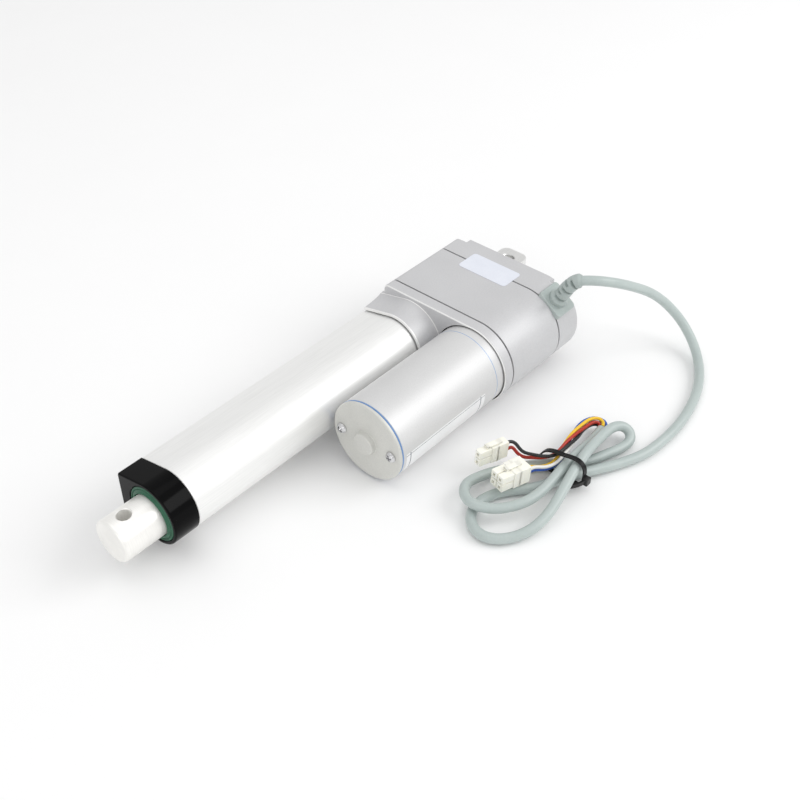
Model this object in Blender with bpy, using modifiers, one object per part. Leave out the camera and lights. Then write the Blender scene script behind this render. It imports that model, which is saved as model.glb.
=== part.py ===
"""Electric linear actuator: rod in an extruded tube, DC motor beside it, three-slice gear housing, rear clevis and a tied cord.

Frame: origin at the middle of the base, +X toward the rod's tip, +Y toward the motor, +Z up. Dimensions below are in millimetres.
"""

import math

import bmesh
import bpy
from mathutils import Matrix, Vector

for old in list(bpy.data.objects):
    bpy.data.objects.remove(old, do_unlink=True)

MM = 0.001

# axes
AXIS_Z = 21.0
TUBE_Y = -19.0
MOTOR_Y = 18.0
IDLER_Y = 0.0

# rod and tube
ROD_R = 10.0
ROD_TIP = 135.65
ROD_BORE_R = 7.6
ROD_END_X = 104.0
PIN_R = 3.2
PIN_X = 127.35
STROKE = 150.0
TUBE_R = 15.0
TUBE_NOSE = 19.8
TUBE_NOSE_HALF = 10.8
TUBE_REAR = -52.0
CAP_REAR, CAP_FRONT = 102.15, 114.85
SEAL_R = 13.2

# housing slices
HOUSE_H = 42.0
HOUSE_R = 21.0
HOUSE_LEFT = -37.1
HOUSE_CORNER = 3.0
WALL = 2.2
FRONT_X = -49.15
JOINT_1 = -55.65
JOINT_2 = -92.65
REAR_X = -108.85
POCKET_X = -104.65
GASKET_HALF = 0.3
GAP = 0.25

# rear clevis
CLEVIS_PIN_X = -127.65
CLEVIS_R = 8.0
CLEVIS_CORNER = 4.2
CLEVIS_HALF = 5.0
CLEVIS_ROOT_HALF = 4.8
CLEVIS_FACE_X = -109.4

# motor
MOTOR_R = 19.9
MOTOR_FRONT = 23.95
MOTOR_REAR = -53.0
SHAFT_R = 1.6

# gear train: module and teeth of each mesh
MODULE_A, PINION_T, IDLER_BIG_T = 0.75, 12, 36
MODULE_B, IDLER_SMALL_T, SCREW_T = 1.0, 12, 26
PRESSURE = math.radians(25)
BACKLASH = 0.16

# lead screw
SCREW_R = 4.0
SCREW_REAR, SCREW_FRONT = -101.3, 102.8

# cord
JACKET_R = 2.4
WIRE_R = 0.8

# housing screws: across and up from the tube's and the motor's axes
SCREW_AT = [(-33.0, 38.0), (-33.0, 4.0), (26.0, 36.0), (26.0, 6.0)]

main = bpy.data.collections.new("linear_actuator")
cutters = bpy.data.collections.new("cutters")
bpy.context.scene.collection.children.link(main)
bpy.context.scene.collection.children.link(cutters)
cutters.hide_render = True


def material(name, color, metallic=0.0, roughness=0.5):
    found = bpy.data.materials.get(name)
    if found:
        return found
    made = bpy.data.materials.new(name)
    made.use_nodes = True
    shader = made.node_tree.nodes["Principled BSDF"]
    shader.inputs["Base Color"].default_value = (*color, 1)
    shader.inputs["Metallic"].default_value = metallic
    shader.inputs["Roughness"].default_value = roughness
    return made


def link(name, mesh, color=None, cutter=False, **look):
    obj = bpy.data.objects.new(name, mesh)
    if cutter:
        cutters.objects.link(obj)
        obj.hide_render = True
        obj.display_type = "WIRE"
    else:
        main.objects.link(obj)
        mesh.materials.append(material("mat_" + name, color, **look))
    return obj


def from_bmesh(name, bm, color=None, cutter=False, **look):
    bmesh.ops.recalc_face_normals(bm, faces=bm.faces)
    mesh = bpy.data.meshes.new(name)
    bm.to_mesh(mesh)
    bm.free()
    return link(name, mesh, color, cutter, **look)


def loft(name, sections, color=None, cutter=False, **look):
    """A closed body through sections that each have the same number of 3-D points, in mm."""
    bm = bmesh.new()
    rings = [[bm.verts.new(Vector(p) * MM) for p in section] for section in sections]
    count = len(rings[0])
    for a, b in zip(rings, rings[1:]):
        for i in range(count):
            j = (i + 1) % count
            bm.faces.new((a[i], a[j], b[j], b[i]))
    bm.faces.new(rings[0])
    bm.faces.new(list(reversed(rings[-1])))
    return from_bmesh(name, bm, color, cutter, **look)


def along_x(outline, x):
    return [(x, y, z) for y, z in outline]


def prism_x(name, outline, x0, x1, color=None, cutter=False, **look):
    return loft(name, [along_x(outline, x0), along_x(outline, x1)], color, cutter, **look)


def prism_z(name, outline, z0, z1, color=None, cutter=False, **look):
    sections = [[(x, y, z) for x, y in outline] for z in (z0, z1)]
    return loft(name, sections, color, cutter, **look)


def sleeve_x(name, outer, inner, x0, x1, color, **look):
    """An open tube between two outlines that have the same number of points."""
    bm = bmesh.new()
    ring = {}
    for key, outline in (("o", outer), ("i", inner)):
        for end, x in ((0, x0), (1, x1)):
            ring[key, end] = [bm.verts.new(Vector(p) * MM) for p in along_x(outline, x)]
    count = len(outer)
    for i in range(count):
        j = (i + 1) % count
        o0, o1, i0, i1 = ring["o", 0], ring["o", 1], ring["i", 0], ring["i", 1]
        bm.faces.new((o0[i], o0[j], o1[j], o1[i]))
        bm.faces.new((i0[j], i0[i], i1[i], i1[j]))
        bm.faces.new((o1[i], o1[j], i1[j], i1[i]))
        bm.faces.new((o0[j], o0[i], i0[i], i0[j]))
    return from_bmesh(name, bm, color, **look)


def turned(name, profile, y, z, color=None, steps=32, cutter=False, closed=True, **look):
    """A body turned about an X line through (y, z). profile: (radius, x), down the outer side from the largest x."""
    mesh = bpy.data.meshes.new(name)
    count = len(profile)
    edges = [(i, i + 1) for i in range(count - 1)]
    if closed:
        edges.append((count - 1, 0))
    mesh.from_pydata([(r * MM, 0, x * MM) for r, x in profile], edges, [])
    obj = link(name, mesh, color, cutter, **look)
    screw = obj.modifiers.new("turn", "SCREW")
    screw.axis = "Z"
    screw.steps = steps
    screw.render_steps = steps
    screw.use_merge_vertices = True
    screw.merge_threshold = 0.00001
    obj.rotation_euler = (0, math.pi / 2, 0)
    obj.location = (0, y * MM, z * MM)
    return obj


def ring(name, r_out, r_in, x0, x1, y, z, color, **look):
    return turned(name, [(r_out, x1), (r_out, x0), (r_in, x0), (r_in, x1)], y, z, color, **look)


def rod(name, r, x0, x1, y, z, color=None, **look):
    return turned(name, [(0, x1), (r, x1), (r, x0), (0, x0)], y, z, color, closed=False, **look)


def box(name, low, high, color=None, cutter=False, **look):
    bm = bmesh.new()
    size = [(b - a) * MM for a, b in zip(low, high)]
    middle = [(a + b) / 2 * MM for a, b in zip(low, high)]
    bmesh.ops.create_cube(bm, size=1, matrix=Matrix.Translation(middle) @ Matrix.Diagonal((*size, 1)))
    return from_bmesh(name, bm, color, cutter, **look)


def boolean(obj, other, operation="DIFFERENCE"):
    change = obj.modifiers.new(other.name, "BOOLEAN")
    change.operation = operation
    change.solver = "EXACT"
    change.object = other
    return obj


def cylinder_z(name, r, x, y, z0, z1, steps=32):
    outline = [
        (x + r * math.cos(2 * math.pi * i / steps), y + r * math.sin(2 * math.pi * i / steps))
        for i in range(steps)
    ]
    return prism_z(name, outline, z0, z1, cutter=True)


def bullet(grow=0.0, arc_steps=26):
    """The tube's section: round on the motor side, with two straight sides closing to a flat nose."""
    r = TUBE_R + grow
    nose_y = -(TUBE_NOSE + grow)
    nose_z = TUBE_NOSE_HALF + grow * 0.75
    distance = math.hypot(nose_y, nose_z)
    corner = math.atan2(nose_z, nose_y)
    touch = corner - math.acos(min(1.0, r / distance))
    points = []
    for i in range(arc_steps + 1):
        angle = -touch + 2 * touch * i / arc_steps
        points.append((r * math.cos(angle), r * math.sin(angle)))
    points += [(nose_y, nose_z), (nose_y, -nose_z)]
    return [(TUBE_Y + a, AXIS_Z + b) for a, b in points]


def housing(inset=0.0, side_steps=24, corner_steps=5):
    """The housing's section: flat with rounded corners on the tube side, a half round on the motor side."""
    r = HOUSE_R - inset
    corner = max(HOUSE_CORNER - inset, 0.8)
    left = HOUSE_LEFT + inset
    points = []
    for i in range(side_steps + 1):
        angle = -math.pi / 2 + math.pi * i / side_steps
        points.append((MOTOR_Y + r * math.cos(angle), AXIS_Z + r * math.sin(angle)))
    for top in (1, -1):
        for i in range(corner_steps + 1):
            turn = math.pi / 2 * i / corner_steps
            angle = math.pi / 2 + turn if top == 1 else math.pi + turn
            points.append(
                (
                    left + corner + corner * math.cos(angle),
                    AXIS_Z + top * (r - corner) + corner * math.sin(angle),
                )
            )
    return points


def gear(teeth, module, y, phase, tip=0.8, root=1.1):
    """An involute spur gear's outline about (y, AXIS_Z), with a tooth centred at phase."""
    pitch_r = module * teeth / 2
    base_r = pitch_r * math.cos(PRESSURE)
    tip_r = pitch_r + tip * module
    root_r = pitch_r - root * module
    half = math.pi / (2 * teeth) - BACKLASH / (2 * pitch_r)
    involute = lambda a: math.tan(a) - a
    at_pitch = involute(PRESSURE)
    start = max(base_r, root_r)
    flank = []
    for i in range(3):
        r = start + (tip_r - start) * i / 2
        turn = half + at_pitch - involute(math.acos(min(1.0, base_r / r)))
        flank.append((r, turn))
    points = []
    for k in range(teeth):
        middle = phase + 2 * math.pi * k / teeth
        one = [(root_r, -flank[0][1] - 0.02)] if root_r < base_r else []
        one += [(r, -t) for r, t in flank]
        one += [(r, t) for r, t in reversed(flank)]
        one += [(root_r, flank[0][1] + 0.02)] if root_r < base_r else []
        for r, t in one:
            points.append((y + r * math.cos(middle + t), AXIS_Z + r * math.sin(middle + t)))
    return points


def spline(points, step):
    """Points at an even step along a centripetal Catmull-Rom curve through the given ones."""
    pts = [Vector(p) for p in points]
    pts = [2 * pts[0] - pts[1]] + pts + [2 * pts[-1] - pts[-2]]
    fine = []
    for i in range(1, len(pts) - 2):
        p = pts[i - 1 : i + 3]
        t = [0.0]
        for a, b in zip(p, p[1:]):
            t.append(t[-1] + max((b - a).length, 1e-6) ** 0.5)
        for k in range(8):
            u = t[1] + (t[2] - t[1]) * k / 8
            mix = lambda a, b, ta, tb: a * ((tb - u) / (tb - ta)) + b * ((u - ta) / (tb - ta))
            a1, a2, a3 = mix(p[0], p[1], t[0], t[1]), mix(p[1], p[2], t[1], t[2]), mix(p[2], p[3], t[2], t[3])
            b1, b2 = mix(a1, a2, t[0], t[2]), mix(a2, a3, t[1], t[3])
            fine.append(mix(b1, b2, t[1], t[2]))
    fine.append(pts[-2])
    lengths = [0.0]
    for a, b in zip(fine, fine[1:]):
        lengths.append(lengths[-1] + (b - a).length)
    count = max(2, round(lengths[-1] / step))
    out, k = [], 0
    for i in range(count + 1):
        want = lengths[-1] * i / count
        while k < len(fine) - 2 and lengths[k + 1] < want:
            k += 1
        share = (want - lengths[k]) / max(lengths[k + 1] - lengths[k], 1e-9)
        out.append(fine[k].lerp(fine[k + 1], min(1.0, max(0.0, share))))
    return out


def cable(name, points, r, step, color, resolution=2, **look):
    curve = bpy.data.curves.new(name, "CURVE")
    curve.dimensions = "3D"
    route = spline(points, step)
    line = curve.splines.new("POLY")
    line.points.add(len(route) - 1)
    for point, at in zip(line.points, route):
        point.co = (*(at * MM), 1)
    curve.bevel_depth = r * MM
    curve.bevel_resolution = resolution
    curve.use_fill_caps = True
    obj = bpy.data.objects.new(name, curve)
    main.objects.link(obj)
    curve.materials.append(material("mat_" + name, color, **look))
    return obj


SILVER = (0.62, 0.63, 0.64)
ALU = (0.85, 0.85, 0.84)
STEEL = (0.55, 0.55, 0.56)
BLACK = (0.02, 0.02, 0.022)
WHITE = (0.86, 0.87, 0.85)
COPPER = (0.6, 0.28, 0.12)
BRASS = (0.72, 0.55, 0.25)
PCB = (0.04, 0.2, 0.09)

# ---- tube, cap and guide
inner = bullet(-1.7)
sleeve_x("outer_tube", bullet(), inner, TUBE_REAR, CAP_REAR - GAP, ALU, metallic=0.9, roughness=0.35)

prism_x("front_cap", bullet(0.2), CAP_REAR, CAP_FRONT, BLACK, roughness=0.35)
boolean(bpy.data.objects["front_cap"], turned(
    "cut_cap_bore",
    [(0, CAP_FRONT + 2), (SEAL_R + 0.3, CAP_FRONT + 2), (SEAL_R + 0.3, CAP_FRONT - 3.2), (ROD_R + 0.5, CAP_FRONT - 3.2),
     (ROD_R + 0.5, CAP_FRONT - 4.4), (11.9, CAP_FRONT - 4.4), (11.9, CAP_REAR - 2), (0, CAP_REAR - 2)],
    TUBE_Y, AXIS_Z, cutter=True, closed=False))
turned("wiper_seal",
       [(SEAL_R, CAP_FRONT - 0.2), (SEAL_R, CAP_FRONT - 2.9), (ROD_R + 0.35, CAP_FRONT - 2.9), (ROD_R + 0.35, CAP_FRONT + 0.7), (ROD_R + 1.1, CAP_FRONT + 0.7), (ROD_R + 1.6, CAP_FRONT - 0.2)],
       TUBE_Y, AXIS_Z, (0.02, 0.2, 0.1), roughness=0.6)
ring("guide_bush", 11.6, ROD_R + 0.08, CAP_REAR + 0.2, CAP_FRONT - 4.8, TUBE_Y, AXIS_Z, (0.75, 0.74, 0.7))

# ---- rod body
ring("rod_tube", ROD_R, ROD_BORE_R, -48.2, ROD_END_X - 0.3, TUBE_Y, AXIS_Z, ALU, metallic=1.0, roughness=0.3)
turned("rod_end", [(0, ROD_TIP), (ROD_R - 0.8, ROD_TIP), (ROD_R, ROD_TIP - 0.8), (ROD_R, ROD_END_X), (0, ROD_END_X)],
       TUBE_Y, AXIS_Z, ALU, closed=False, metallic=1.0, roughness=0.3)
boolean(bpy.data.objects["rod_end"], cylinder_z("cut_rod_pin", PIN_R, PIN_X, TUBE_Y, AXIS_Z - 15, AXIS_Z + 15))
turned("drive_nut", [(ROD_BORE_R - 0.3, -40.0), (ROD_BORE_R - 0.3, -51.4), (12.3, -51.4), (12.3, -58.3), (SCREW_R + 0.08, -58.3), (SCREW_R + 0.08, -40.0)],
       TUBE_Y, AXIS_Z, (0.85, 0.84, 0.78))
ring("nut_collar", 12.3, ROD_BORE_R + 0.1, -51.1, -48.5, TUBE_Y, AXIS_Z, BLACK)

# ---- lead screw body
turned("lead_screw", [(0, SCREW_FRONT), (SCREW_R - 0.6, SCREW_FRONT), (SCREW_R, SCREW_FRONT - 0.6), (SCREW_R, SCREW_REAR), (0, SCREW_REAR)],
       TUBE_Y, AXIS_Z, STEEL, steps=24, closed=False, metallic=1.0, roughness=0.35)
prism_x("screw_gear", gear(SCREW_T, MODULE_B, TUBE_Y, math.pi / SCREW_T), -75.0, -67.0, (0.86, 0.85, 0.8))
boolean(bpy.data.objects["screw_gear"], rod("cut_screw_gear", SCREW_R + 0.2, -80, -60, TUBE_Y, AXIS_Z, cutter=True))
ring("magnet_ring", 7.0, SCREW_R + 0.2, -81.0, -77.0, TUBE_Y, AXIS_Z, (0.12, 0.12, 0.13), steps=24)
ring("bearing_inner_ring", 6.2, SCREW_R + 0.2, -101.2, -96.2, TUBE_Y, AXIS_Z, STEEL, steps=32, metallic=1.0)
ring("bearing_outer_ring", 11.0, 8.9, -101.2, -96.2, TUBE_Y, AXIS_Z, STEEL, steps=32, metallic=1.0)
ring("bearing_ball_cage", 8.6, 6.5, -100.6, -96.8, TUBE_Y, AXIS_Z, BRASS, steps=32, metallic=1.0)

# ---- idler
idler = prism_x("idler_gear", gear(IDLER_BIG_T, MODULE_A, IDLER_Y, math.pi / IDLER_BIG_T), -65.2, -59.2, (0.86, 0.85, 0.8))
boolean(idler, prism_x("add_idler_small", gear(IDLER_SMALL_T, MODULE_B, IDLER_Y, 0.0), -76.0, -64.0, cutter=True), "UNION")
boolean(idler, rod("cut_idler", 2.08, -80, -55, IDLER_Y, AXIS_Z, cutter=True, steps=32))
rod("gear_shaft", 2.0, -96.0, -53.6, IDLER_Y, AXIS_Z, STEEL, steps=32, metallic=1.0)

# ---- front housing slice
front = prism_x("front_housing", housing(), JOINT_1 + GASKET_HALF + GAP, FRONT_X, SILVER, roughness=0.45)
boss = loft("add_tube_boss", [along_x(bullet(4.2), FRONT_X - 1.0), along_x(bullet(4.2), FRONT_X + 0.01), along_x(bullet(1.9), -38.6), along_x(bullet(1.7), -36.6)], cutter=True)
boss_trim = box("cut_boss_sides", (FRONT_X - 5, HOUSE_LEFT - 30, -10), (0, HOUSE_LEFT - 1.7, 60), cutter=True)
boolean(boss, boss_trim)
boolean(front, boss, "UNION")
boolean(front, prism_x("cut_tube_pocket", bullet(0.3), TUBE_REAR - 0.3, 0, cutter=True))
boolean(front, rod("cut_nut_way", 12.9, -70, -40, TUBE_Y, AXIS_Z, cutter=True))
boolean(front, rod("cut_motor_pocket", MOTOR_R + 0.3, MOTOR_REAR - 0.2, 0, MOTOR_Y, AXIS_Z, cutter=True, steps=48))
boolean(front, rod("cut_pinion_way", 6.4, -70, -40, MOTOR_Y, AXIS_Z, cutter=True))
boolean(front, rod("cut_idler_seat", 2.3, -60, -53.2, IDLER_Y, AXIS_Z, cutter=True, steps=24))
for k, (y, z) in enumerate(SCREW_AT):
    boolean(front, rod("cut_front_screw_%d" % k, 1.6, -60, -53.4, y, z, cutter=True, steps=16))

# ---- gaskets and middle slice
for name, x in (("gasket_front", JOINT_1), ("gasket_rear", JOINT_2)):
    sleeve_x(name, housing(0.5), housing(WALL), x - GASKET_HALF, x + GASKET_HALF, (0.08, 0.08, 0.085), roughness=0.8)
sleeve_x("middle_housing", housing(), housing(WALL), JOINT_2 + GASKET_HALF + GAP, JOINT_1 - GASKET_HALF - GAP, SILVER, roughness=0.45)

# ---- rear cover
cover_x = JOINT_2 - GASKET_HALF - GAP
cover = prism_x("rear_cover", housing(), REAR_X, cover_x, SILVER, roughness=0.45)
boolean(cover, rod("cut_bearing_seat", 11.3, -101.6, -80, TUBE_Y, AXIS_Z, cutter=True))
boolean(cover, box("cut_clevis_root", (-104.9, TUBE_Y - 12.3, AXIS_Z - CLEVIS_ROOT_HALF - 0.3), (-101.0, TUBE_Y + 12.3, AXIS_Z + CLEVIS_ROOT_HALF + 0.3), cutter=True))
boolean(cover, box("cut_clevis_slot", (-112, TUBE_Y - CLEVIS_R - 0.1, AXIS_Z - CLEVIS_ROOT_HALF - 0.3), (-104.0, TUBE_Y + CLEVIS_R + 0.1, AXIS_Z + CLEVIS_ROOT_HALF + 0.3), cutter=True))
boolean(cover, rod("cut_cover_idler", 2.3, -96.4, -80, IDLER_Y, AXIS_Z, cutter=True, steps=24))
boolean(cover, rod("cut_wire_chamber", 13.0, -103.0, -80, MOTOR_Y + 2.0, AXIS_Z, cutter=True))
for k, (y, z) in enumerate(SCREW_AT):
    boolean(cover, rod("cut_cover_screw_%d" % k, 1.6, -110, -80, y, z, cutter=True, steps=16))
    way = 1 if z > AXIS_Z else -1
    low, high = sorted((z - way * 3.4, z + way * 20))
    side = (y - 30, y + 3.4) if y < 0 else (y - 3.4, y + 30)
    boolean(cover, box("cut_head_pocket_%d" % k, (REAR_X - 5, side[0], low), (POCKET_X, side[1], high), cutter=True))

GLAND_X = (-106.25, -93.55)
GLAND_TURN = math.radians(54)
gland_n = Vector((0, math.cos(GLAND_TURN), math.sin(GLAND_TURN)))
gland_t = Vector((0, -math.sin(GLAND_TURN), math.cos(GLAND_TURN)))
gland_base = Vector((sum(GLAND_X) / 2, MOTOR_Y, AXIS_Z)) + gland_n * 20.1


def gland_slab(name, x_half, t_half, n0, n1, color=None, cutter=False, corner=2.0, **look):
    outline = []
    for sx, st in ((1, 1), (-1, 1), (-1, -1), (1, -1)):
        first = {(1, 1): 0, (-1, 1): 90, (-1, -1): 180, (1, -1): 270}[sx, st]
        for k in range(4):
            a = math.radians(first + 30 * k)
            outline.append((sx * (x_half - corner) + corner * math.cos(a), st * (t_half - corner) + corner * math.sin(a)))
    sections = [[tuple(gland_base + Vector((a, 0, 0)) + gland_t * b + gland_n * n) for a, b in outline] for n in (n0, n1)]
    return loft(name, sections, color, cutter, **look)


def turned_on(name, profile, origin, direction, color=None, cutter=False, steps=24):
    """A closed loft of circles along a direction. profile: (radius, distance)."""
    side = Vector((1, 0, 0))
    up = direction.cross(side).normalized()
    side = up.cross(direction)
    sections = []
    for r, h in profile:
        sections.append([
            tuple(origin + direction * h + (side * math.cos(2 * math.pi * i / steps) + up * math.sin(2 * math.pi * i / steps)) * r)
            for i in range(steps)
        ])
    return loft(name, sections, color, cutter)


boolean(cover, gland_slab("cut_gland_seat", 6.75, 7.2, 0.0, 8.0, cutter=True, corner=2.2))
gland = gland_slab("cable_gland", 6.35, 6.8, 0.3, 2.2, (0.6, 0.65, 0.63), roughness=0.5)
boolean(gland, turned_on("add_gland_stem",
        [(5.2, 1.2), (5.2, 3.4), (4.3, 4.4), (3.6, 5.0), (3.6, 18.0)],
        gland_base, gland_n, cutter=True), "UNION")

# ---- rear clevis insert
outline = []
for way in (1, -1):
    for step in range(9):
        a = math.pi / 2 * step / 8 if way == 1 else math.pi / 2 * (1 - step / 8)
        outline.append((
            CLEVIS_PIN_X - CLEVIS_R + CLEVIS_CORNER - CLEVIS_CORNER * math.sin(a),
            TUBE_Y + way * (CLEVIS_R - CLEVIS_CORNER + CLEVIS_CORNER * math.cos(a)),
        ))
outline += [(CLEVIS_FACE_X, TUBE_Y - CLEVIS_R), (CLEVIS_FACE_X, TUBE_Y + CLEVIS_R)]
clevis = prism_z("rear_clevis", outline, AXIS_Z - CLEVIS_HALF, AXIS_Z + CLEVIS_HALF, ALU, metallic=1.0, roughness=0.35)
root = [(CLEVIS_FACE_X - 2, TUBE_Y + CLEVIS_R - 0.2), (CLEVIS_FACE_X - 2, TUBE_Y - CLEVIS_R + 0.2), (-104.6, TUBE_Y - CLEVIS_R + 0.2), (-104.6, TUBE_Y - 12.0),
        (-102.0, TUBE_Y - 12.0), (-102.0, TUBE_Y + 12.0), (-104.6, TUBE_Y + 12.0), (-104.6, TUBE_Y + CLEVIS_R - 0.2)]
boolean(clevis, prism_z("add_clevis_root", root, AXIS_Z - CLEVIS_ROOT_HALF, AXIS_Z + CLEVIS_ROOT_HALF, cutter=True), "UNION")
boolean(clevis, cylinder_z("cut_clevis_pin", PIN_R, CLEVIS_PIN_X, TUBE_Y, 0, 42))

# ---- housing screws
for k, (y, z) in enumerate(SCREW_AT):
    turned("housing_screw_%d" % (k + 1),
           [(0, -53.8), (1.25, -53.8), (1.25, -104.9), (2.7, -104.9), (2.7, -106.6), (2.1, -107.2), (0, -107.2)],
           y, z, STEEL, steps=20, closed=False, metallic=1.0)

# ---- motor shell
turned("motor_can",
       [(MOTOR_R, 21.55), (MOTOR_R, MOTOR_REAR + 0.1), (4.4, MOTOR_REAR + 0.1), (4.4, MOTOR_REAR + 1.4), (MOTOR_R - 1.2, MOTOR_REAR + 1.4), (MOTOR_R - 1.2, 21.55)],
       MOTOR_Y, AXIS_Z, SILVER, steps=48, roughness=0.4)
turned("motor_seal_ring",
       [(MOTOR_R + 0.05, 22.35), (MOTOR_R + 0.05, 21.75), (MOTOR_R - 1.2, 21.75), (MOTOR_R - 1.2, 22.35)],
       MOTOR_Y, AXIS_Z, (0.02, 0.12, 0.4), steps=48)
end_cap = turned("motor_end_cap",
       [(5.6, 26.9), (5.6, MOTOR_FRONT), (MOTOR_R - 0.5, MOTOR_FRONT), (MOTOR_R, MOTOR_FRONT - 0.5), (MOTOR_R, 22.6), (MOTOR_R - 1.5, 22.6), (MOTOR_R - 1.5, 19.5), (4.4, 19.5), (4.4, 26.9)],
       MOTOR_Y, AXIS_Z, SILVER, steps=48, roughness=0.4)
for name, side in (("motor_screw_left", -1), ("motor_screw_right", 1)):
    y = MOTOR_Y + side * 14.5
    boolean(end_cap, rod("cut_" + name, 1.5, 10, 40, y, AXIS_Z, cutter=True, steps=16))
    turned(name, [(0, 25.9), (1.6, 25.9), (2.6, 25.1), (2.6, 24.2), (1.2, 24.2), (1.2, 17.2), (0, 17.2)],
           y, AXIS_Z, STEEL, steps=20, closed=False, metallic=1.0)

# ---- motor inside
for name, way in (("magnet_upper", 1), ("magnet_lower", -1)):
    arc = []
    for r, order in ((MOTOR_R - 1.5, 1), (MOTOR_R - 4.4, -1)):
        turns = [way * (math.pi / 2) + order * math.radians(a) for a in range(-60, 61, 10)]
        arc += [(MOTOR_Y + r * math.cos(a), AXIS_Z + r * math.sin(a)) for a in turns]
    prism_x(name, arc, -34.0, 2.0, (0.1, 0.1, 0.11), roughness=0.7)
ring("brush_plate", MOTOR_R - 1.6, 5.6, 11.6, 13.4, MOTOR_Y, AXIS_Z, (0.35, 0.2, 0.1))
for name, way in (("brush_upper", 1), ("brush_lower", -1)):
    low, high = sorted((AXIS_Z + way * 5.4, AXIS_Z + way * 11.4))
    box(name, (7.2, MOTOR_Y - 2, low), (11.2, MOTOR_Y + 2, high), (0.06, 0.06, 0.06))
ring("motor_front_bush", 4.1, SHAFT_R + 0.08, 19.8, 26.4, MOTOR_Y, AXIS_Z, BRASS, metallic=1.0, steps=24)
ring("motor_rear_bush", 4.1, SHAFT_R + 0.08, -52.9, -47.0, MOTOR_Y, AXIS_Z, BRASS, metallic=1.0, steps=24)
rod("rotor_shaft", SHAFT_R, -66.3, 27.6, MOTOR_Y, AXIS_Z, STEEL, steps=24, metallic=1.0)

core = []
for tooth in range(5):
    for r, a in ((5.6, -30), (5.6, -22), (11.4, -10), (12.8, -31), (14.8, -33), (14.8, -16), (14.8, 0), (14.8, 16), (14.8, 33), (12.8, 31), (11.4, 10), (5.6, 22), (5.6, 30)):
        turn = math.radians(72 * tooth + a)
        core.append((MOTOR_Y + r * math.cos(turn), AXIS_Z + r * math.sin(turn)))
prism_x("rotor_core", core, -32.0, 0.0, (0.3, 0.3, 0.32), metallic=1.0)
boolean(bpy.data.objects["rotor_core"], rod("cut_core_bore", SHAFT_R + 0.2, -60, 20, MOTOR_Y, AXIS_Z, cutter=True, steps=24))
ring("rotor_winding_front", 12.4, SHAFT_R + 0.4, 0.3, 5.2, MOTOR_Y, AXIS_Z, COPPER, metallic=1.0, steps=32)
ring("rotor_winding_rear", 12.4, SHAFT_R + 0.4, -37.5, -32.3, MOTOR_Y, AXIS_Z, COPPER, metallic=1.0, steps=32)
ring("commutator", 5.0, SHAFT_R + 0.2, 6.4, 14.0, MOTOR_Y, AXIS_Z, COPPER, metallic=1.0, steps=24)
prism_x("motor_pinion", gear(PINION_T, MODULE_A, MOTOR_Y, 0.0), -65.4, -57.6, BRASS, metallic=1.0)
boolean(bpy.data.objects["motor_pinion"], rod("cut_pinion", SHAFT_R + 0.2, -70, -50, MOTOR_Y, AXIS_Z, cutter=True, steps=24))

# ---- switches and sensor
box("switch_strip", (-40.0, -36.7, AXIS_Z - 6.5), (98.0, -35.7, AXIS_Z + 6.5), PCB)
for name, x in (("limit_switch_front", 84.0), ("limit_switch_rear", -38.0)):
    box(name, (x, -35.4, AXIS_Z - 3.2), (x + 10.0, -31.9, AXIS_Z + 3.2), BLACK)
box("hall_board", (-84.0, -28.0, 4.2), (-74.0, -10.0, 5.4), PCB)

# ---- labels without lettering
LABEL_LOW, LABEL_HIGH = (-99.6, -20.0), (-85.6, 9.0)
outline = []
for cx, cy, first in (
    (LABEL_HIGH[0] - 1.8, LABEL_HIGH[1] - 1.8, 0),
    (LABEL_LOW[0] + 1.8, LABEL_HIGH[1] - 1.8, 90),
    (LABEL_LOW[0] + 1.8, LABEL_LOW[1] + 1.8, 180),
    (LABEL_HIGH[0] - 1.8, LABEL_LOW[1] + 1.8, 270),
):
    for k in range(4):
        a = math.radians(first + 30 * k)
        outline.append((cx + 1.8 * math.cos(a), cy + 1.8 * math.sin(a)))
prism_z("seal_label", outline, HOUSE_H + 0.05, HOUSE_H + 0.25, WHITE)

arc = []
for r, order in ((MOTOR_R + 0.22, 1), (MOTOR_R + 0.06, -1)):
    steps = range(0, 13)
    for k in steps if order == 1 else reversed(steps):
        a = math.radians(-58 + 46 * k / 12)
        arc.append((MOTOR_Y + r * math.cos(a), AXIS_Z + r * math.sin(a)))
prism_x("motor_label", arc, -38.0, 12.0, WHITE)

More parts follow.
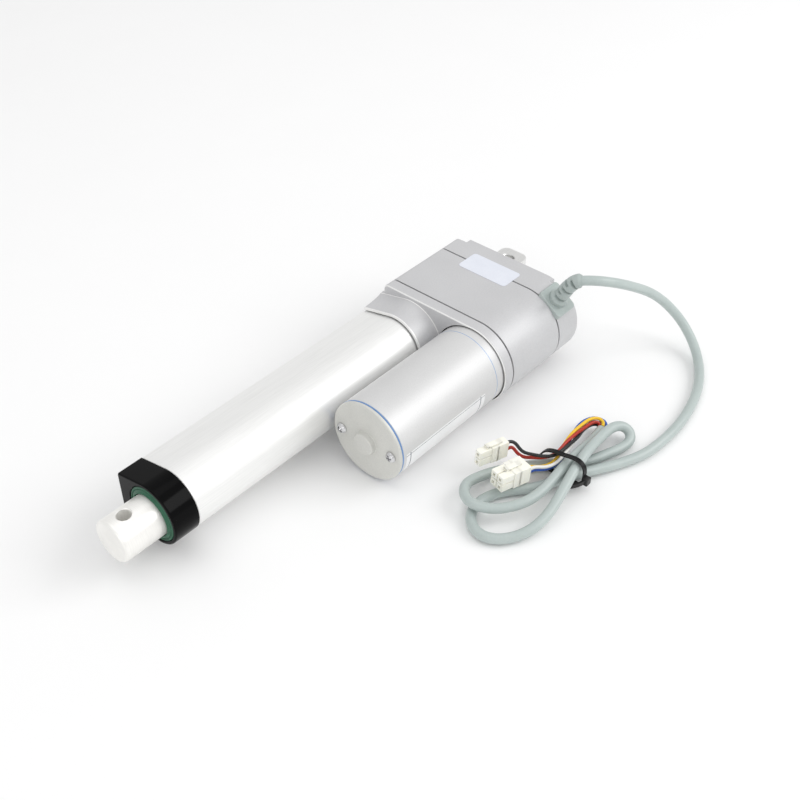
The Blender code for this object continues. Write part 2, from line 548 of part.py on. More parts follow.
# ---- cord
CORD_POINTS = [
    (-100.2, 41.6, 53.0), (-103.2, 47.8, 54.3), (-108.3, 52.3, 53.0), (-114.2, 54.9, 50.2), (-126.0, 57.8, 43.1), (-137.2, 61.0, 35.3),
    (-147.0, 64.8, 25.9), (-153.5, 71.2, 15.5), (-153.8, 76.6, 10.0), (-151.7, 81.5, 6.6), (-147.5, 86.7, 4.2), (-136.4, 95.1, 2.7),
    (-123.7, 101.0, 2.5), (-110.2, 104.9, 2.5), (-96.3, 107.0, 2.5), (-82.3, 107.2, 2.5), (-68.3, 105.5, 2.5), (-55.3, 100.4, 2.5),
    (-42.7, 94.0, 3.2), (-36.4, 91.0, 3.9), (-30.1, 87.9, 3.6), (-18.0, 80.8, 2.5), (-7.0, 72.1, 2.5), (-0.7, 68.9, 2.5), (6.1, 67.6, 2.5),
    (12.9, 69.1, 2.5), (18.3, 73.5, 2.5), (20.6, 80.0, 2.5), (18.2, 86.5, 2.5), (13.0, 91.2, 2.6), (6.8, 94.3, 3.1),
    (0.0, 95.8, 4.1), (-6.9, 96.0, 5.6), (-13.7, 95.2, 7.4), (-20.5, 94.0, 9.0), (-27.3, 92.5, 10.1), (-34.1, 91.2, 10.8),
    (-41.1, 90.0, 11.1), (-48.0, 88.9, 10.8), (-55.0, 88.0, 9.7), (-62.0, 87.5, 9.0), (-68.2, 87.7, 8.4), (-73.0, 89.2, 7.2),
    (-75.2, 91.9, 5.4), (-74.0, 94.9, 3.6), (-70.0, 96.2, 2.7), (-63.4, 95.0, 2.5), (-56.6, 92.6, 2.5), (-49.9, 90.1, 2.5),
    (-43.8, 86.7, 2.9), (-38.4, 82.2, 3.7), (-33.5, 77.2, 3.8), (-28.7, 72.0, 3.0), (-23.4, 67.4, 2.5), (-17.6, 63.4, 2.7),
    (-11.3, 60.5, 3.4), (-4.6, 58.6, 4.3), (2.3, 58.2, 5.7), (8.5, 61.2, 7.1), (12.5, 66.7, 7.9), (11.4, 73.4, 7.7),
    (7.0, 78.8, 7.1), (1.2, 82.8, 6.9), (-5.1, 85.7, 7.2), (-12.0, 87.0, 7.7), (-19.1, 87.1, 8.2), (-26.1, 86.5, 8.5),
    (-33.1, 85.9, 8.6), (-40.1, 85.5, 8.5), (-47.1, 85.0, 7.6), (-54.0, 84.4, 6.1), (-60.9, 83.5, 5.1), (-67.8, 82.3, 4.0),
]
cable("cable_jacket", CORD_POINTS, JACKET_R, 7.0, (0.55, 0.61, 0.59), roughness=0.45)

# ---- five thin wires from the jacket's end, under the tie and into the sensor connector
WIRE_POINTS = [
    (-68.4, 82.19, 3.9), (-69.8, 81.95, 3.7), (-71.5, 80.7, 4.2), (-70.9, 78.2, 5.1), (-67.2, 76.4, 6.1), (-60.6, 76.1, 7.0), (-53.0, 77.2, 7.4),
    (-45.3, 78.7, 8.1), (-37.6, 80.2, 8.8), (-31.3, 80.7, 8.5), (-26.4, 79.0, 8.6), (-20.0, 75.0, 9.6),
]
CONNECTOR_AXIS = Vector((0.965, -0.24, 0.08)).normalized()
CONNECTOR_SIDE = Vector((0, 0, 1)).cross(CONNECTOR_AXIS).normalized()
CONNECTOR_UP = CONNECTOR_AXIS.cross(CONNECTOR_SIDE)
SENSOR_FRONT = Vector((-2.5, 70.3, 11.2))
MOTOR_PLUG_FRONT = Vector((-7.7, 55.6, 11.9))
CONNECTOR_LENGTH = 16.0


# the two motor wires leave the bundle past the tie and turn back into the motor connector
MOTOR_WIRE_POINTS = [
    (-33.2, 79.6, 8.7), (-29.8, 76.3, 8.6), (-27.4, 71.6, 8.4), (-26.2, 67.4, 8.0), (-27.0, 63.8, 8.4), (-27.6, 61.0, 9.7),
]


def wire(name, order, color):
    """One of the wires: spaced on a small circle in the bundle, which twists once along its arch and opens where they enter a connector."""
    turn = 2 * math.pi * (order / 5) + 0.3
    start = (1.62 * math.cos(turn), 1.62 * math.sin(turn))
    if order < 2:
        route, front, end = WIRE_POINTS[:9] + MOTOR_WIRE_POINTS, MOTOR_PLUG_FRONT, (0.0, 2.0 * (2 * order - 1))
        leads = ((2.4, end), (0.0, end))
    else:
        route, front, end = WIRE_POINTS, SENSOR_FRONT, start
        leads = ((3.4, (2.1 * math.cos(turn), 2.0 * math.sin(turn))), (0.0, (2.5 * math.cos(turn), 2.4 * math.sin(turn))))
    route = [Vector(p) for p in route]
    count = len(route)
    entry = front - CONNECTOR_AXIS * (CONNECTOR_LENGTH + 0.4)
    points = []
    for i, at in enumerate(route):
        ahead = route[min(i + 1, count - 1)] - route[max(i - 1, 0)]
        side = ahead.cross(Vector((0, 0, 1))).normalized()
        up = side.cross(ahead).normalized()
        share = min(1.0, max(0.0, (i - 9) / 4))
        across, rise = (a + (b - a) * share for a, b in zip(start, end))
        twist = math.radians(144) * min(1.0, max(0.0, (8 - i) / 3))
        across, rise = across * math.cos(twist) - rise * math.sin(twist), across * math.sin(twist) + rise * math.cos(twist)
        points.append(at + side * across + up * rise)
    if order >= 2:
        points = points[:-1]
    for back, (wide, high) in leads:
        points.append(entry - CONNECTOR_AXIS * back - CONNECTOR_SIDE * wide + CONNECTOR_UP * high)
    return cable(name, points, WIRE_R, 4.0 if order >= 2 else 2.5, color, resolution=1, roughness=0.4)


for order, (name, color) in enumerate((
    ("wire_red", (0.6, 0.06, 0.03)), ("wire_black", (0.02, 0.02, 0.02)), ("wire_white", (0.85, 0.85, 0.85)),
    ("wire_blue", (0.05, 0.2, 0.65)), ("wire_yellow", (0.95, 0.7, 0.04)),
)):
    wire(name, order, color)


def oriented(name, front, side_half, up_half, a0, a1, color=None, cutter=False, shift=(0, 0), **look):
    """A box along the connector's axis, from a0 to a1 behind its front face."""
    sections = []
    for a in (a0, a1):
        middle = front - CONNECTOR_AXIS * a + CONNECTOR_SIDE * shift[0] + CONNECTOR_UP * shift[1]
        sections.append([
            tuple(middle + CONNECTOR_SIDE * side_half * i + CONNECTOR_UP * up_half * j)
            for i, j in ((1, 1), (-1, 1), (-1, -1), (1, -1))
        ])
    return loft(name, sections, color, cutter, **look)


PITCH = 4.2
for name, front, columns in (("connector_sensor", SENSOR_FRONT, (-0.5, 0.5)), ("connector_motor", MOTOR_PLUG_FRONT, (0.0,))):
    wide = 2.35 + PITCH * (len(columns) - 1) / 2
    body = oriented(name, front, wide, 4.45, 0.0, CONNECTOR_LENGTH, (0.85, 0.84, 0.76), roughness=0.4)
    boolean(body, oriented("add_latch_" + name, front, 1.6, 0.6, 4.0, 13.0, cutter=True, shift=(0, 4.9)), "UNION")
    for i, column in enumerate(columns):
        for j, row in enumerate((-0.5, 0.5)):
            boolean(body, oriented("cut_%s_%d%d" % (name, i, j), front, 0.75, 0.75, -2.0, 6.0, cutter=True,
                                   shift=(column * PITCH, row * PITCH)))

# ---- cable tie: a band round the strands, its head, and a short cut tail
TIE_X, TIE_HALF, TIE_THICK = -33.6, 1.2, 0.9
TIE_LOOP = [
    (73.0, 2.2), (72.1, 4.2), (72.9, 6.8), (75.4, 10.2), (79.4, 12.1), (84.2, 12.9), (88.0, 13.9), (91.4, 14.2), (94.2, 12.8),
    (95.2, 9.8), (95.0, 5.0), (93.9, 2.4), (92.2, 1.1), (75.0, 1.1),
]
middle = [sum(p[k] for p in TIE_LOOP) / len(TIE_LOOP) for k in (0, 1)]
outer = []
for i, here in enumerate(TIE_LOOP):
    before, after = Vector(TIE_LOOP[i - 1]), Vector(TIE_LOOP[(i + 1) % len(TIE_LOOP)])
    along = (after - before).normalized()
    out = Vector((-along.y, along.x))
    outer.append(tuple(Vector(here) + out * TIE_THICK))
tie = sleeve_x("cable_tie", outer, TIE_LOOP, TIE_X - TIE_HALF, TIE_X + TIE_HALF, BLACK, roughness=0.4)
boolean(tie, box("add_tie_head", (TIE_X - 2.2, 95.5, 4.2), (TIE_X + 2.2, 98.9, 8.8), cutter=True), "UNION")
tail = [(-32.2, 96.9), (-29.4, 96.2), (-26.4, 94.6), (-23.6, 92.6)]
strip = []
for side in (0.55, -0.55):
    for i in range(len(tail)) if side > 0 else reversed(range(len(tail))):
        a, b = Vector(tail[max(i - 1, 0)]), Vector(tail[min(i + 1, len(tail) - 1)])
        along = (b - a).normalized()
        strip.append((tail[i][0] - along.y * side, tail[i][1] + along.x * side))
boolean(tie, prism_z("add_tie_tail", strip, 4.9, 7.1, cutter=True), "UNION")
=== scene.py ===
"""Looks of the electric linear actuator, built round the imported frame. Lengths are in millimetres until a point is placed."""

import math

import bmesh
import bpy
from mathutils import Matrix, Vector


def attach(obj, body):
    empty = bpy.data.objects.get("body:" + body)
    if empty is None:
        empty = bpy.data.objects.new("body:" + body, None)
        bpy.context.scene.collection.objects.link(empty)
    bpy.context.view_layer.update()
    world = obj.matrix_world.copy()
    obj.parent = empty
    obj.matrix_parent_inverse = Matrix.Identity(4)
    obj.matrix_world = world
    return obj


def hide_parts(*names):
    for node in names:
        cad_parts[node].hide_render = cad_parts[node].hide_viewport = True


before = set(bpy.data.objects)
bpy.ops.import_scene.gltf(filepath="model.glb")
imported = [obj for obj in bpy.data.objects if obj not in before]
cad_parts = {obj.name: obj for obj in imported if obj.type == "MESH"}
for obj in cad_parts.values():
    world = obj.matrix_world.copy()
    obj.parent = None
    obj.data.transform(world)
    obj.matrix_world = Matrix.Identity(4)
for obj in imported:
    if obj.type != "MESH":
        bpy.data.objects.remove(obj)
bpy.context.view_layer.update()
MM = 0.001
scene = bpy.context.scene

AXIS_Z = 21.0
TUBE_Y = -19.0
MOTOR_Y = 18.0
ROD_R, ROD_TIP, ROD_BORE_R, ROD_END_X = 10.0, 135.65, 7.6, 104.0
PIN_R, PIN_X = 3.2, 127.35
TUBE_R, TUBE_NOSE, TUBE_NOSE_HALF = 15.0, 19.8, 10.8
CAP_REAR, CAP_FRONT, SEAL_R = 102.15, 114.85, 13.2
HOUSE_R, HOUSE_LEFT, HOUSE_CORNER, WALL = 21.0, -37.1, 3.0, 2.2
FRONT_X, JOINT_1, JOINT_2, REAR_X, POCKET_X = -49.15, -55.65, -92.65, -108.85, -104.65
MOTOR_R = 19.9
SCREW_AT = [(-33.0, 38.0), (-33.0, 4.0), (26.0, 36.0), (26.0, 6.0)]
JACKET_R, WIRE_R = 2.4, 0.8


# ------------------------------------------------------------------ camera
camera = bpy.data.objects.new("camera", bpy.data.cameras.new("camera"))
scene.collection.objects.link(camera)
forward = Vector((-0.5713, -0.4997, -0.6510)).normalized()
right = Vector((-0.6583, 0.7527, 0.0)).normalized()
up = right.cross(forward).normalized()
turn = Matrix((right, up, -forward)).transposed().to_4x4()
camera.matrix_world = Matrix.Translation((0.29557, 0.27507, 0.36581)) @ turn
camera.data.lens = 51.87
camera.data.sensor_width = 36.0
camera.data.clip_start = 0.01
camera.data.clip_end = 50.0
scene.camera = camera


# ------------------------------------------------------------------ materials
def surface(name, base, other, rough, metallic=0.0, grain=0.6, blotch=14.0, mix=0.5, spread=0.06, bump=0.05,
            bump_depth=0.03, stretch=(1, 1, 1), edge_highlight=None, edge_highlight_at=0.54, coat=0.0, coat_rough=0.1, soft=0.0, lines=None, gloss=0.5):
    """A surface whose colour runs between two near tones in fine grain and broad blotches, with the grain in its roughness and its bump. Sizes in mm."""
    mat = bpy.data.materials.new(name)
    mat.use_nodes = True
    tree = mat.node_tree
    shader = tree.nodes["Principled BSDF"]
    new, join = tree.nodes.new, tree.links.new
    where = new("ShaderNodeTexCoord")
    mapping = new("ShaderNodeMapping")
    mapping.inputs["Scale"].default_value = stretch
    join(where.outputs["Object"], mapping.inputs["Vector"])

    def noise(size, detail, rough_value=0.55):
        node = new("ShaderNodeTexNoise")
        node.inputs["Scale"].default_value = 1000.0 / size
        node.inputs["Detail"].default_value = detail
        node.inputs["Roughness"].default_value = rough_value
        join(mapping.outputs["Vector"], node.inputs["Vector"])
        return node

    fine, broad = noise(grain, 4.0), noise(blotch, 2.0)
    both = new("ShaderNodeMath")
    both.operation = "MULTIPLY_ADD"
    join(fine.outputs["Fac"], both.inputs[0])
    both.inputs[1].default_value = mix
    part = new("ShaderNodeMath")
    part.operation = "MULTIPLY"
    join(broad.outputs["Fac"], part.inputs[0])
    part.inputs[1].default_value = 1.0 - mix
    join(part.outputs[0], both.inputs[2])
    ramp = new("ShaderNodeValToRGB")
    ramp.color_ramp.elements[0].position = 0.36
    ramp.color_ramp.elements[0].color = (*other, 1)
    ramp.color_ramp.elements[1].position = 0.62
    ramp.color_ramp.elements[1].color = (*base, 1)
    join(both.outputs[0], ramp.inputs["Fac"])
    color = ramp.outputs["Color"]
    # painted highlight: convex edges, found by pointiness, are lightened towards this colour in broad patches, standing
    # in for the light they catch
    if edge_highlight:
        geometry = new("ShaderNodeNewGeometry")
        edge = new("ShaderNodeMapRange")
        edge.inputs["From Min"].default_value = edge_highlight_at - 0.02
        edge.inputs["From Max"].default_value = edge_highlight_at + 0.05
        join(geometry.outputs["Pointiness"], edge.inputs["Value"])
        highlight_share = new("ShaderNodeMath")
        highlight_share.operation = "MULTIPLY"
        join(edge.outputs["Result"], highlight_share.inputs[0])
        join(broad.outputs["Fac"], highlight_share.inputs[1])
        blend = new("ShaderNodeMix")
        blend.data_type = "RGBA"
        join(highlight_share.outputs[0], blend.inputs[0])
        join(color, blend.inputs[6])
        blend.inputs[7].default_value = (*edge_highlight, 1)
        color = blend.outputs[2]
    for axis, at, half, tone in lines or ():
        split = new("ShaderNodeSeparateXYZ")
        join(where.outputs["Object"], split.inputs["Vector"])
        if axis == "turn":
            dy, dz = new("ShaderNodeMath"), new("ShaderNodeMath")
            for node, key, centre in ((dy, "Y", MOTOR_Y), (dz, "Z", AXIS_Z)):
                node.operation = "SUBTRACT"
                join(split.outputs[key], node.inputs[0])
                node.inputs[1].default_value = centre * MM
            angle = new("ShaderNodeMath")
            angle.operation = "ARCTAN2"
            join(dz.outputs[0], angle.inputs[0])
            join(dy.outputs[0], angle.inputs[1])
            value, place, width = angle.outputs[0], math.radians(at), math.radians(half)
        else:
            value, place, width = split.outputs[axis], at * MM, half * MM
        near = new("ShaderNodeMath")
        near.operation = "COMPARE"
        join(value, near.inputs[0])
        near.inputs[1].default_value = place
        near.inputs[2].default_value = width
        blend = new("ShaderNodeMix")
        blend.data_type = "RGBA"
        join(near.outputs[0], blend.inputs[0])
        join(color, blend.inputs[6])
        blend.inputs[7].default_value = (*tone, 1)
        color = blend.outputs[2]
    join(color, shader.inputs["Base Color"])
    spreadout = new("ShaderNodeMapRange")
    spreadout.inputs["To Min"].default_value = rough - spread
    spreadout.inputs["To Max"].default_value = rough + spread
    join(fine.outputs["Fac"], spreadout.inputs["Value"])
    join(spreadout.outputs["Result"], shader.inputs["Roughness"])
    shader.inputs["Metallic"].default_value = metallic
    shader.inputs["Specular IOR Level"].default_value = gloss
    if coat:
        shader.inputs["Coat Weight"].default_value = coat
        shader.inputs["Coat Roughness"].default_value = coat_rough
    if soft:
        shader.inputs["Subsurface Weight"].default_value = soft
        shader.inputs["Subsurface Radius"].default_value = (1.0, 0.95, 0.8)
        shader.inputs["Subsurface Scale"].default_value = 0.0012
    height = new("ShaderNodeBump")
    height.inputs["Strength"].default_value = bump
    height.inputs["Distance"].default_value = bump_depth * MM
    join(fine.outputs["Fac"], height.inputs["Height"])
    join(height.outputs["Normal"], shader.inputs["Normal"])
    return mat


def grey(v, warm=0.0):
    return (v * (1 + warm), v, v * (1 - warm))


# the light edge colours given to endcap, rod, cap, black and gland are painted highlights on their convex edges
M = {
    "paint": surface("m_paint", (0.605, 0.605, 0.615), (0.555, 0.555, 0.565), 0.46, 0.25, grain=0.7, blotch=22, mix=0.62,
                     spread=0.07, bump=0.16, bump_depth=0.05),
    # painted highlight: a much lighter paint for the lit edges of the front housing
    "paint_highlight": surface("m_paint_highlight", (0.88, 0.88, 0.87), (0.80, 0.80, 0.79), 0.36, 0.3, grain=0.5, blotch=8, mix=0.6,
                         spread=0.07, bump=0.1, bump_depth=0.03),
    "motor": surface("m_motor", (0.69, 0.69, 0.69), (0.64, 0.64, 0.64), 0.46, 0.3, grain=0.6, blotch=26, mix=0.6,
                     spread=0.06, bump=0.12, bump_depth=0.04,
                     lines=[("X", -44.4, 0.16, (0.24, 0.38, 0.62))]),
    "endcap": surface("m_endcap", (0.655, 0.655, 0.62), (0.60, 0.60, 0.57), 0.46, 0.15, grain=0.7, blotch=12, mix=0.6,
                      spread=0.07, bump=0.2, bump_depth=0.05, edge_highlight=(0.8, 0.8, 0.79), edge_highlight_at=0.56),
    "anodised": surface("m_anodised", (0.91, 0.91, 0.90), (0.85, 0.85, 0.84), 0.44, 0.5, grain=0.5, blotch=9, mix=0.7,
                        spread=0.06, bump=0.1, bump_depth=0.02, stretch=(0.03, 1, 1)),
    "rod": surface("m_rod", (0.94, 0.93, 0.90), (0.88, 0.87, 0.84), 0.36, 0.45, grain=0.35, blotch=7, mix=0.7,
                   spread=0.06, bump=0.1, bump_depth=0.02, stretch=(1, 0.06, 0.06), edge_highlight=(0.95, 0.95, 0.94), edge_highlight_at=0.55),
    "clevis": surface("m_clevis", (0.84, 0.84, 0.83), (0.76, 0.76, 0.75), 0.34, 0.85, grain=0.4, blotch=6, mix=0.7,
                      spread=0.07, bump=0.12, bump_depth=0.02, stretch=(0.05, 1, 1)),
    "cap": surface("m_cap", (0.0028, 0.0028, 0.003), (0.0018, 0.0018, 0.002), 0.13, 0.0, grain=0.6, blotch=10, mix=0.6,
                   spread=0.03, bump=0.05, bump_depth=0.02, edge_highlight=(0.10, 0.10, 0.10), edge_highlight_at=0.56, gloss=0.07),
    "green": surface("m_green", (0.012, 0.115, 0.058), (0.008, 0.085, 0.042), 0.45, 0.0, grain=0.5, blotch=4, mix=0.5,
                     spread=0.08, bump=0.15, bump_depth=0.03),
    "bluering": surface("m_bluering", (0.16, 0.30, 0.58), (0.11, 0.23, 0.48), 0.4, 0.0, grain=0.5, blotch=6),
    "gasket": surface("m_gasket", (0.008, 0.008, 0.0085), (0.005, 0.005, 0.0055), 0.8, 0.0, grain=0.4, blotch=5, bump=0.2, gloss=0.05),
    "steel": surface("m_steel", (0.72, 0.72, 0.73), (0.60, 0.60, 0.61), 0.22, 1.0, grain=0.3, blotch=3, mix=0.6,
                     spread=0.08, bump=0.12, bump_depth=0.02),
    "ferrite": surface("m_ferrite", (0.07, 0.07, 0.075), (0.045, 0.045, 0.05), 0.6, 0.0, grain=0.3, blotch=6, bump=0.3),
    "bronze": surface("m_bronze", (0.66, 0.45, 0.18), (0.52, 0.34, 0.13), 0.35, 1.0, grain=0.3, blotch=5, bump=0.15),
    "copper": surface("m_copper", (0.62, 0.26, 0.11), (0.42, 0.15, 0.06), 0.33, 1.0, grain=0.6, blotch=4, bump=0.5,
                      bump_depth=0.15, stretch=(1, 0.3, 0.3)),
    "laminate": surface("m_laminate", (0.30, 0.30, 0.31), (0.20, 0.20, 0.21), 0.42, 1.0, grain=0.5, blotch=8, bump=0.4,
                        bump_depth=0.1, stretch=(2.5, 0.1, 0.1)),
    "nylon": surface("m_nylon", (0.84, 0.81, 0.68), (0.79, 0.76, 0.62), 0.42, 0.0, grain=0.6, blotch=7, spread=0.07,
                     bump=0.1, soft=0.2),
    "connector": surface("m_connector", (0.97, 0.955, 0.86), (0.94, 0.925, 0.82), 0.32, 0.0, grain=0.8, blotch=5, mix=0.4,
                         spread=0.06, bump=0.1, bump_depth=0.03, soft=0.25),
    # painted shade: near-black for the inside of the plug sockets
    "socket_shade": surface("m_socket_shade", (0.06, 0.055, 0.04), (0.03, 0.028, 0.02), 0.6, 0.0, grain=0.4, blotch=3),
    "black": surface("m_black", (0.006, 0.006, 0.0065), (0.0035, 0.0035, 0.004), 0.3, 0.0, grain=0.5, blotch=6, bump=0.15,
                     edge_highlight=(0.05, 0.05, 0.05), edge_highlight_at=0.55, gloss=0.2),
    "board": surface("m_board", (0.03, 0.19, 0.08), (0.015, 0.12, 0.05), 0.35, 0.0, grain=1.0, blotch=5, bump=0.2,
                     bump_depth=0.06, coat=0.3),
    "seal_label": surface("m_seal_label", (0.75, 0.775, 0.845), (0.71, 0.735, 0.81), 0.38, 0.0, grain=0.5, blotch=7, mix=0.5,
                          spread=0.06, bump=0.08, bump_depth=0.02),
    "motor_label": surface("m_motor_label", (0.86, 0.865, 0.87), (0.81, 0.815, 0.825), 0.30, 0.0, grain=0.5, blotch=9,
                           mix=0.5, bump=0.06, bump_depth=0.02,
                           lines=[("turn", -56.6, 0.35, (0.08, 0.08, 0.085)), ("turn", 1.2, 0.35, (0.10, 0.11, 0.14)),
                                  ("X", 17.2, 0.25, (0.12, 0.13, 0.16)), ("X", -32.0, 0.25, (0.12, 0.13, 0.16))]),
    "jacket": surface("m_jacket", (0.46, 0.52, 0.505), (0.43, 0.49, 0.475), 0.30, 0.0, grain=0.9, blotch=10, mix=0.5,
                      spread=0.03, bump=0.03, bump_depth=0.02, soft=0.06),
    "gland": surface("m_gland", (0.43, 0.485, 0.47), (0.38, 0.435, 0.42), 0.42, 0.0, grain=0.7, blotch=6, mix=0.5,
                     spread=0.08, bump=0.15, bump_depth=0.05, edge_highlight=(0.62, 0.67, 0.65), edge_highlight_at=0.55, soft=0.05),
    "w_black": surface("m_wire_black", (0.012, 0.012, 0.013), (0.007, 0.007, 0.008), 0.28, grain=0.5, blotch=8),
    "w_red": surface("m_wire_red", (0.50, 0.028, 0.01), (0.40, 0.02, 0.008), 0.3, grain=0.5, blotch=8),
    "w_yellow": surface("m_wire_yellow", (0.93, 0.60, 0.02), (0.85, 0.52, 0.012), 0.3, grain=0.5, blotch=8, soft=0.05),
    "w_white": surface("m_wire_white", (0.84, 0.83, 0.80), (0.78, 0.77, 0.74), 0.32, grain=0.5, blotch=8),
    "w_blue": surface("m_wire_blue", (0.045, 0.13, 0.55), (0.03, 0.095, 0.44), 0.3, grain=0.5, blotch=8),
}


# ------------------------------------------------------------------ mesh tools
pieces = []


def place(name, mesh, mat, body, stands_for=(), slot=None, sharp=32):
    obj = bpy.data.objects.new(name, mesh)
    scene.collection.objects.link(obj)
    mesh.materials.append(M[mat])
    for face in mesh.polygons:
        face.use_smooth = True
    mesh.set_sharp_from_angle(angle=math.radians(sharp))
    even = obj.modifiers.new("even_shading", "WEIGHTED_NORMAL")
    even.keep_sharp = True
    even.weight = 60
    pieces.append((obj, body, stands_for, slot))
    return obj


def mesh_of(name, bm):
    bmesh.ops.recalc_face_normals(bm, faces=bm.faces)
    mesh = bpy.data.meshes.new(name)
    bm.to_mesh(mesh)
    bm.free()
    return mesh


def loft_bm(sections, ends=True, closed=False):
    bm = bmesh.new()
    add_loft(bm, sections, ends, closed)
    return bm


def add_loft(bm, sections, ends=True, closed=False):
    rings = [[bm.verts.new(Vector(p) * MM) for p in section] for section in sections]
    count = len(rings[0])
    pairs = list(zip(rings, rings[1:])) + ([(rings[-1], rings[0])] if closed else [])
    for a, b in pairs:
        for i in range(count):
            j = (i + 1) % count
            bm.faces.new((a[i], a[j], b[j], b[i]))
    if ends and not closed:
        bm.faces.new(rings[0])
        bm.faces.new(list(reversed(rings[-1])))


def along_x(outline, x):
    return [(x, y, z) for y, z in outline]


def rounded(outline, x0, x1, r0, r1, steps=4):
    """Sections of a prism along X with rounded ends. outline(inset) gives a section."""
    out = []
    for k in range(steps + 1):
        a = math.pi / 2 * k / steps
        out.append(along_x(outline(r0 * (1 - math.sin(a))), x0 + r0 * (1 - math.cos(a))))
    for k in range(steps + 1):
        a = math.pi / 2 * k / steps
        out.append(along_x(outline(r1 * (1 - math.cos(a))), x1 - r1 * (1 - math.sin(a))))
    return out


def turned_mesh(name, profile, y, z, steps=96, closed=False):
    """A body turned about an X line. profile: (radius, x) from the axis at the front round to the axis at the rear."""
    bm = bmesh.new()
    rings = []
    for r, x in profile:
        if r < 1e-6:
            rings.append([bm.verts.new(Vector((x, y, z)) * MM)])
        else:
            rings.append([
                bm.verts.new(Vector((x, y + r * math.cos(2 * math.pi * i / steps), z + r * math.sin(2 * math.pi * i / steps))) * MM)
                for i in range(steps)
            ])
    pairs = list(zip(rings, rings[1:])) + ([(rings[-1], rings[0])] if closed else [])
    for a, b in pairs:
        for i in range(steps):
            j = (i + 1) % steps
            if len(a) == 1 and len(b) == 1:
                continue
            if len(a) == 1:
                bm.faces.new((a[0], b[j], b[i]))
            elif len(b) == 1:
                bm.faces.new((a[i], a[j], b[0]))
            else:
                bm.faces.new((a[i], a[j], b[j], b[i]))
    return mesh_of(name, bm)


def round_profile(points, radii, steps=5):
    """The points of a profile with its corners rounded."""
    out = []
    for i, (p, r) in enumerate(zip(points, radii)):
        if r <= 0 or i in (0, len(points) - 1):
            out.append(tuple(p))
            continue
        here, a, b = Vector(p), Vector(points[i - 1]), Vector(points[i + 1])
        u, w = (a - here).normalized(), (b - here).normalized()
        angle = u.angle(w)
        reach = min(r / math.tan(angle / 2), (a - here).length * 0.49, (b - here).length * 0.49)
        r = reach * math.tan(angle / 2)
        centre = here + (u + w).normalized() * (r / math.sin(angle / 2))
        start, end = here + u * reach - centre, here + w * reach - centre
        for k in range(steps + 1):
            mixed = start.lerp(end, k / steps).normalized() * r
            out.append(tuple(centre + mixed))
    return out


def cutter(mesh):
    obj = bpy.data.objects.new("cutter", mesh)
    scene.collection.objects.link(obj)
    return obj


def cut(target_mesh, cutters, operation="DIFFERENCE"):
    """The mesh with each cutter taken away or added, as a new mesh."""
    base = bpy.data.objects.new("base", target_mesh)
    scene.collection.objects.link(base)
    helpers = []
    for mesh in cutters:
        helper = cutter(mesh)
        helpers.append(helper)
        change = base.modifiers.new("cut", "BOOLEAN")
        change.operation = operation
        change.solver = "EXACT"
        change.object = helper
    graph = bpy.context.evaluated_depsgraph_get()
    made = bpy.data.meshes.new_from_object(base.evaluated_get(graph))
    for obj in [base, *helpers]:
        bpy.data.objects.remove(obj, do_unlink=True)
    made.materials.clear()
    return made


def box_mesh(low, high, bevel=0.0, segments=2):
    bm = bmesh.new()
    size = [(b - a) * MM for a, b in zip(low, high)]
    middle = [(a + b) / 2 * MM for a, b in zip(low, high)]
    bmesh.ops.create_cube(bm, size=1, matrix=Matrix.Translation(middle) @ Matrix.Diagonal((*size, 1)))
    if bevel:
        bmesh.ops.bevel(bm, geom=bm.edges[:], offset=bevel * MM, segments=segments, profile=0.5, affect="EDGES")
    return mesh_of("box", bm)


def rod_mesh(r, x0, x1, y, z, steps=64):
    return turned_mesh("rod", [(0, x1), (r, x1), (r, x0), (0, x0)], y, z, steps)


def fillet(points, radii, steps=5):
    """A closed outline with rounded corners, each corner with steps + 1 points."""
    out, count = [], len(points)
    for i in range(count):
        r = radii[i]
        here, a, b = Vector(points[i]), Vector(points[i - 1]), Vector(points[(i + 1) % count])
        if r <= 0:
            out.append(tuple(here))
            continue
        u, w = (a - here).normalized(), (b - here).normalized()
        angle = u.angle(w)
        reach = r / math.tan(angle / 2)
        centre = here + (u + w).normalized() * (r / math.sin(angle / 2))
        start, end = here + u * reach - centre, here + w * reach - centre
        for k in range(steps + 1):
            mixed = start.lerp(end, k / steps).normalized() * r
            out.append(tuple(centre + mixed))
    return out


def bullet(grow=0.0, arc_steps=72, nose=1.3):
    """The tube's section: round on the motor side, with two straight sides closing to a flat nose."""
    r = TUBE_R + grow
    nose_y = -(TUBE_NOSE + grow)
    nose_z = TUBE_NOSE_HALF + grow * 0.75
    distance = math.hypot(nose_y, nose_z)
    corner = math.atan2(nose_z, nose_y)
    touch = corner - math.acos(min(1.0, r / distance))
    points, radii = [], []
    for i in range(arc_steps + 1):
        angle = -touch + 2 * touch * i / arc_steps
        points.append((r * math.cos(angle), r * math.sin(angle)))
        radii.append(0)
    points += [(nose_y, nose_z), (nose_y, -nose_z)]
    radii += [nose, nose]
    return [(TUBE_Y + a, AXIS_Z + b) for a, b in fillet(points, radii)]


def housing(inset=0.0, side_steps=72, corner_steps=9):
    r = HOUSE_R - inset
    corner = max(HOUSE_CORNER - inset, 0.5)
    left = HOUSE_LEFT + inset
    points = []
    for i in range(side_steps + 1):
        angle = -math.pi / 2 + math.pi * i / side_steps
        points.append((MOTOR_Y + r * math.cos(angle), AXIS_Z + r * math.sin(angle)))
    for top in (1, -1):
        for i in range(corner_steps + 1):
            bend = math.pi / 2 * i / corner_steps
            angle = math.pi / 2 + bend if top == 1 else math.pi + bend
            points.append((left + corner + corner * math.cos(angle), AXIS_Z + top * (r - corner) + corner * math.sin(angle)))
    return points


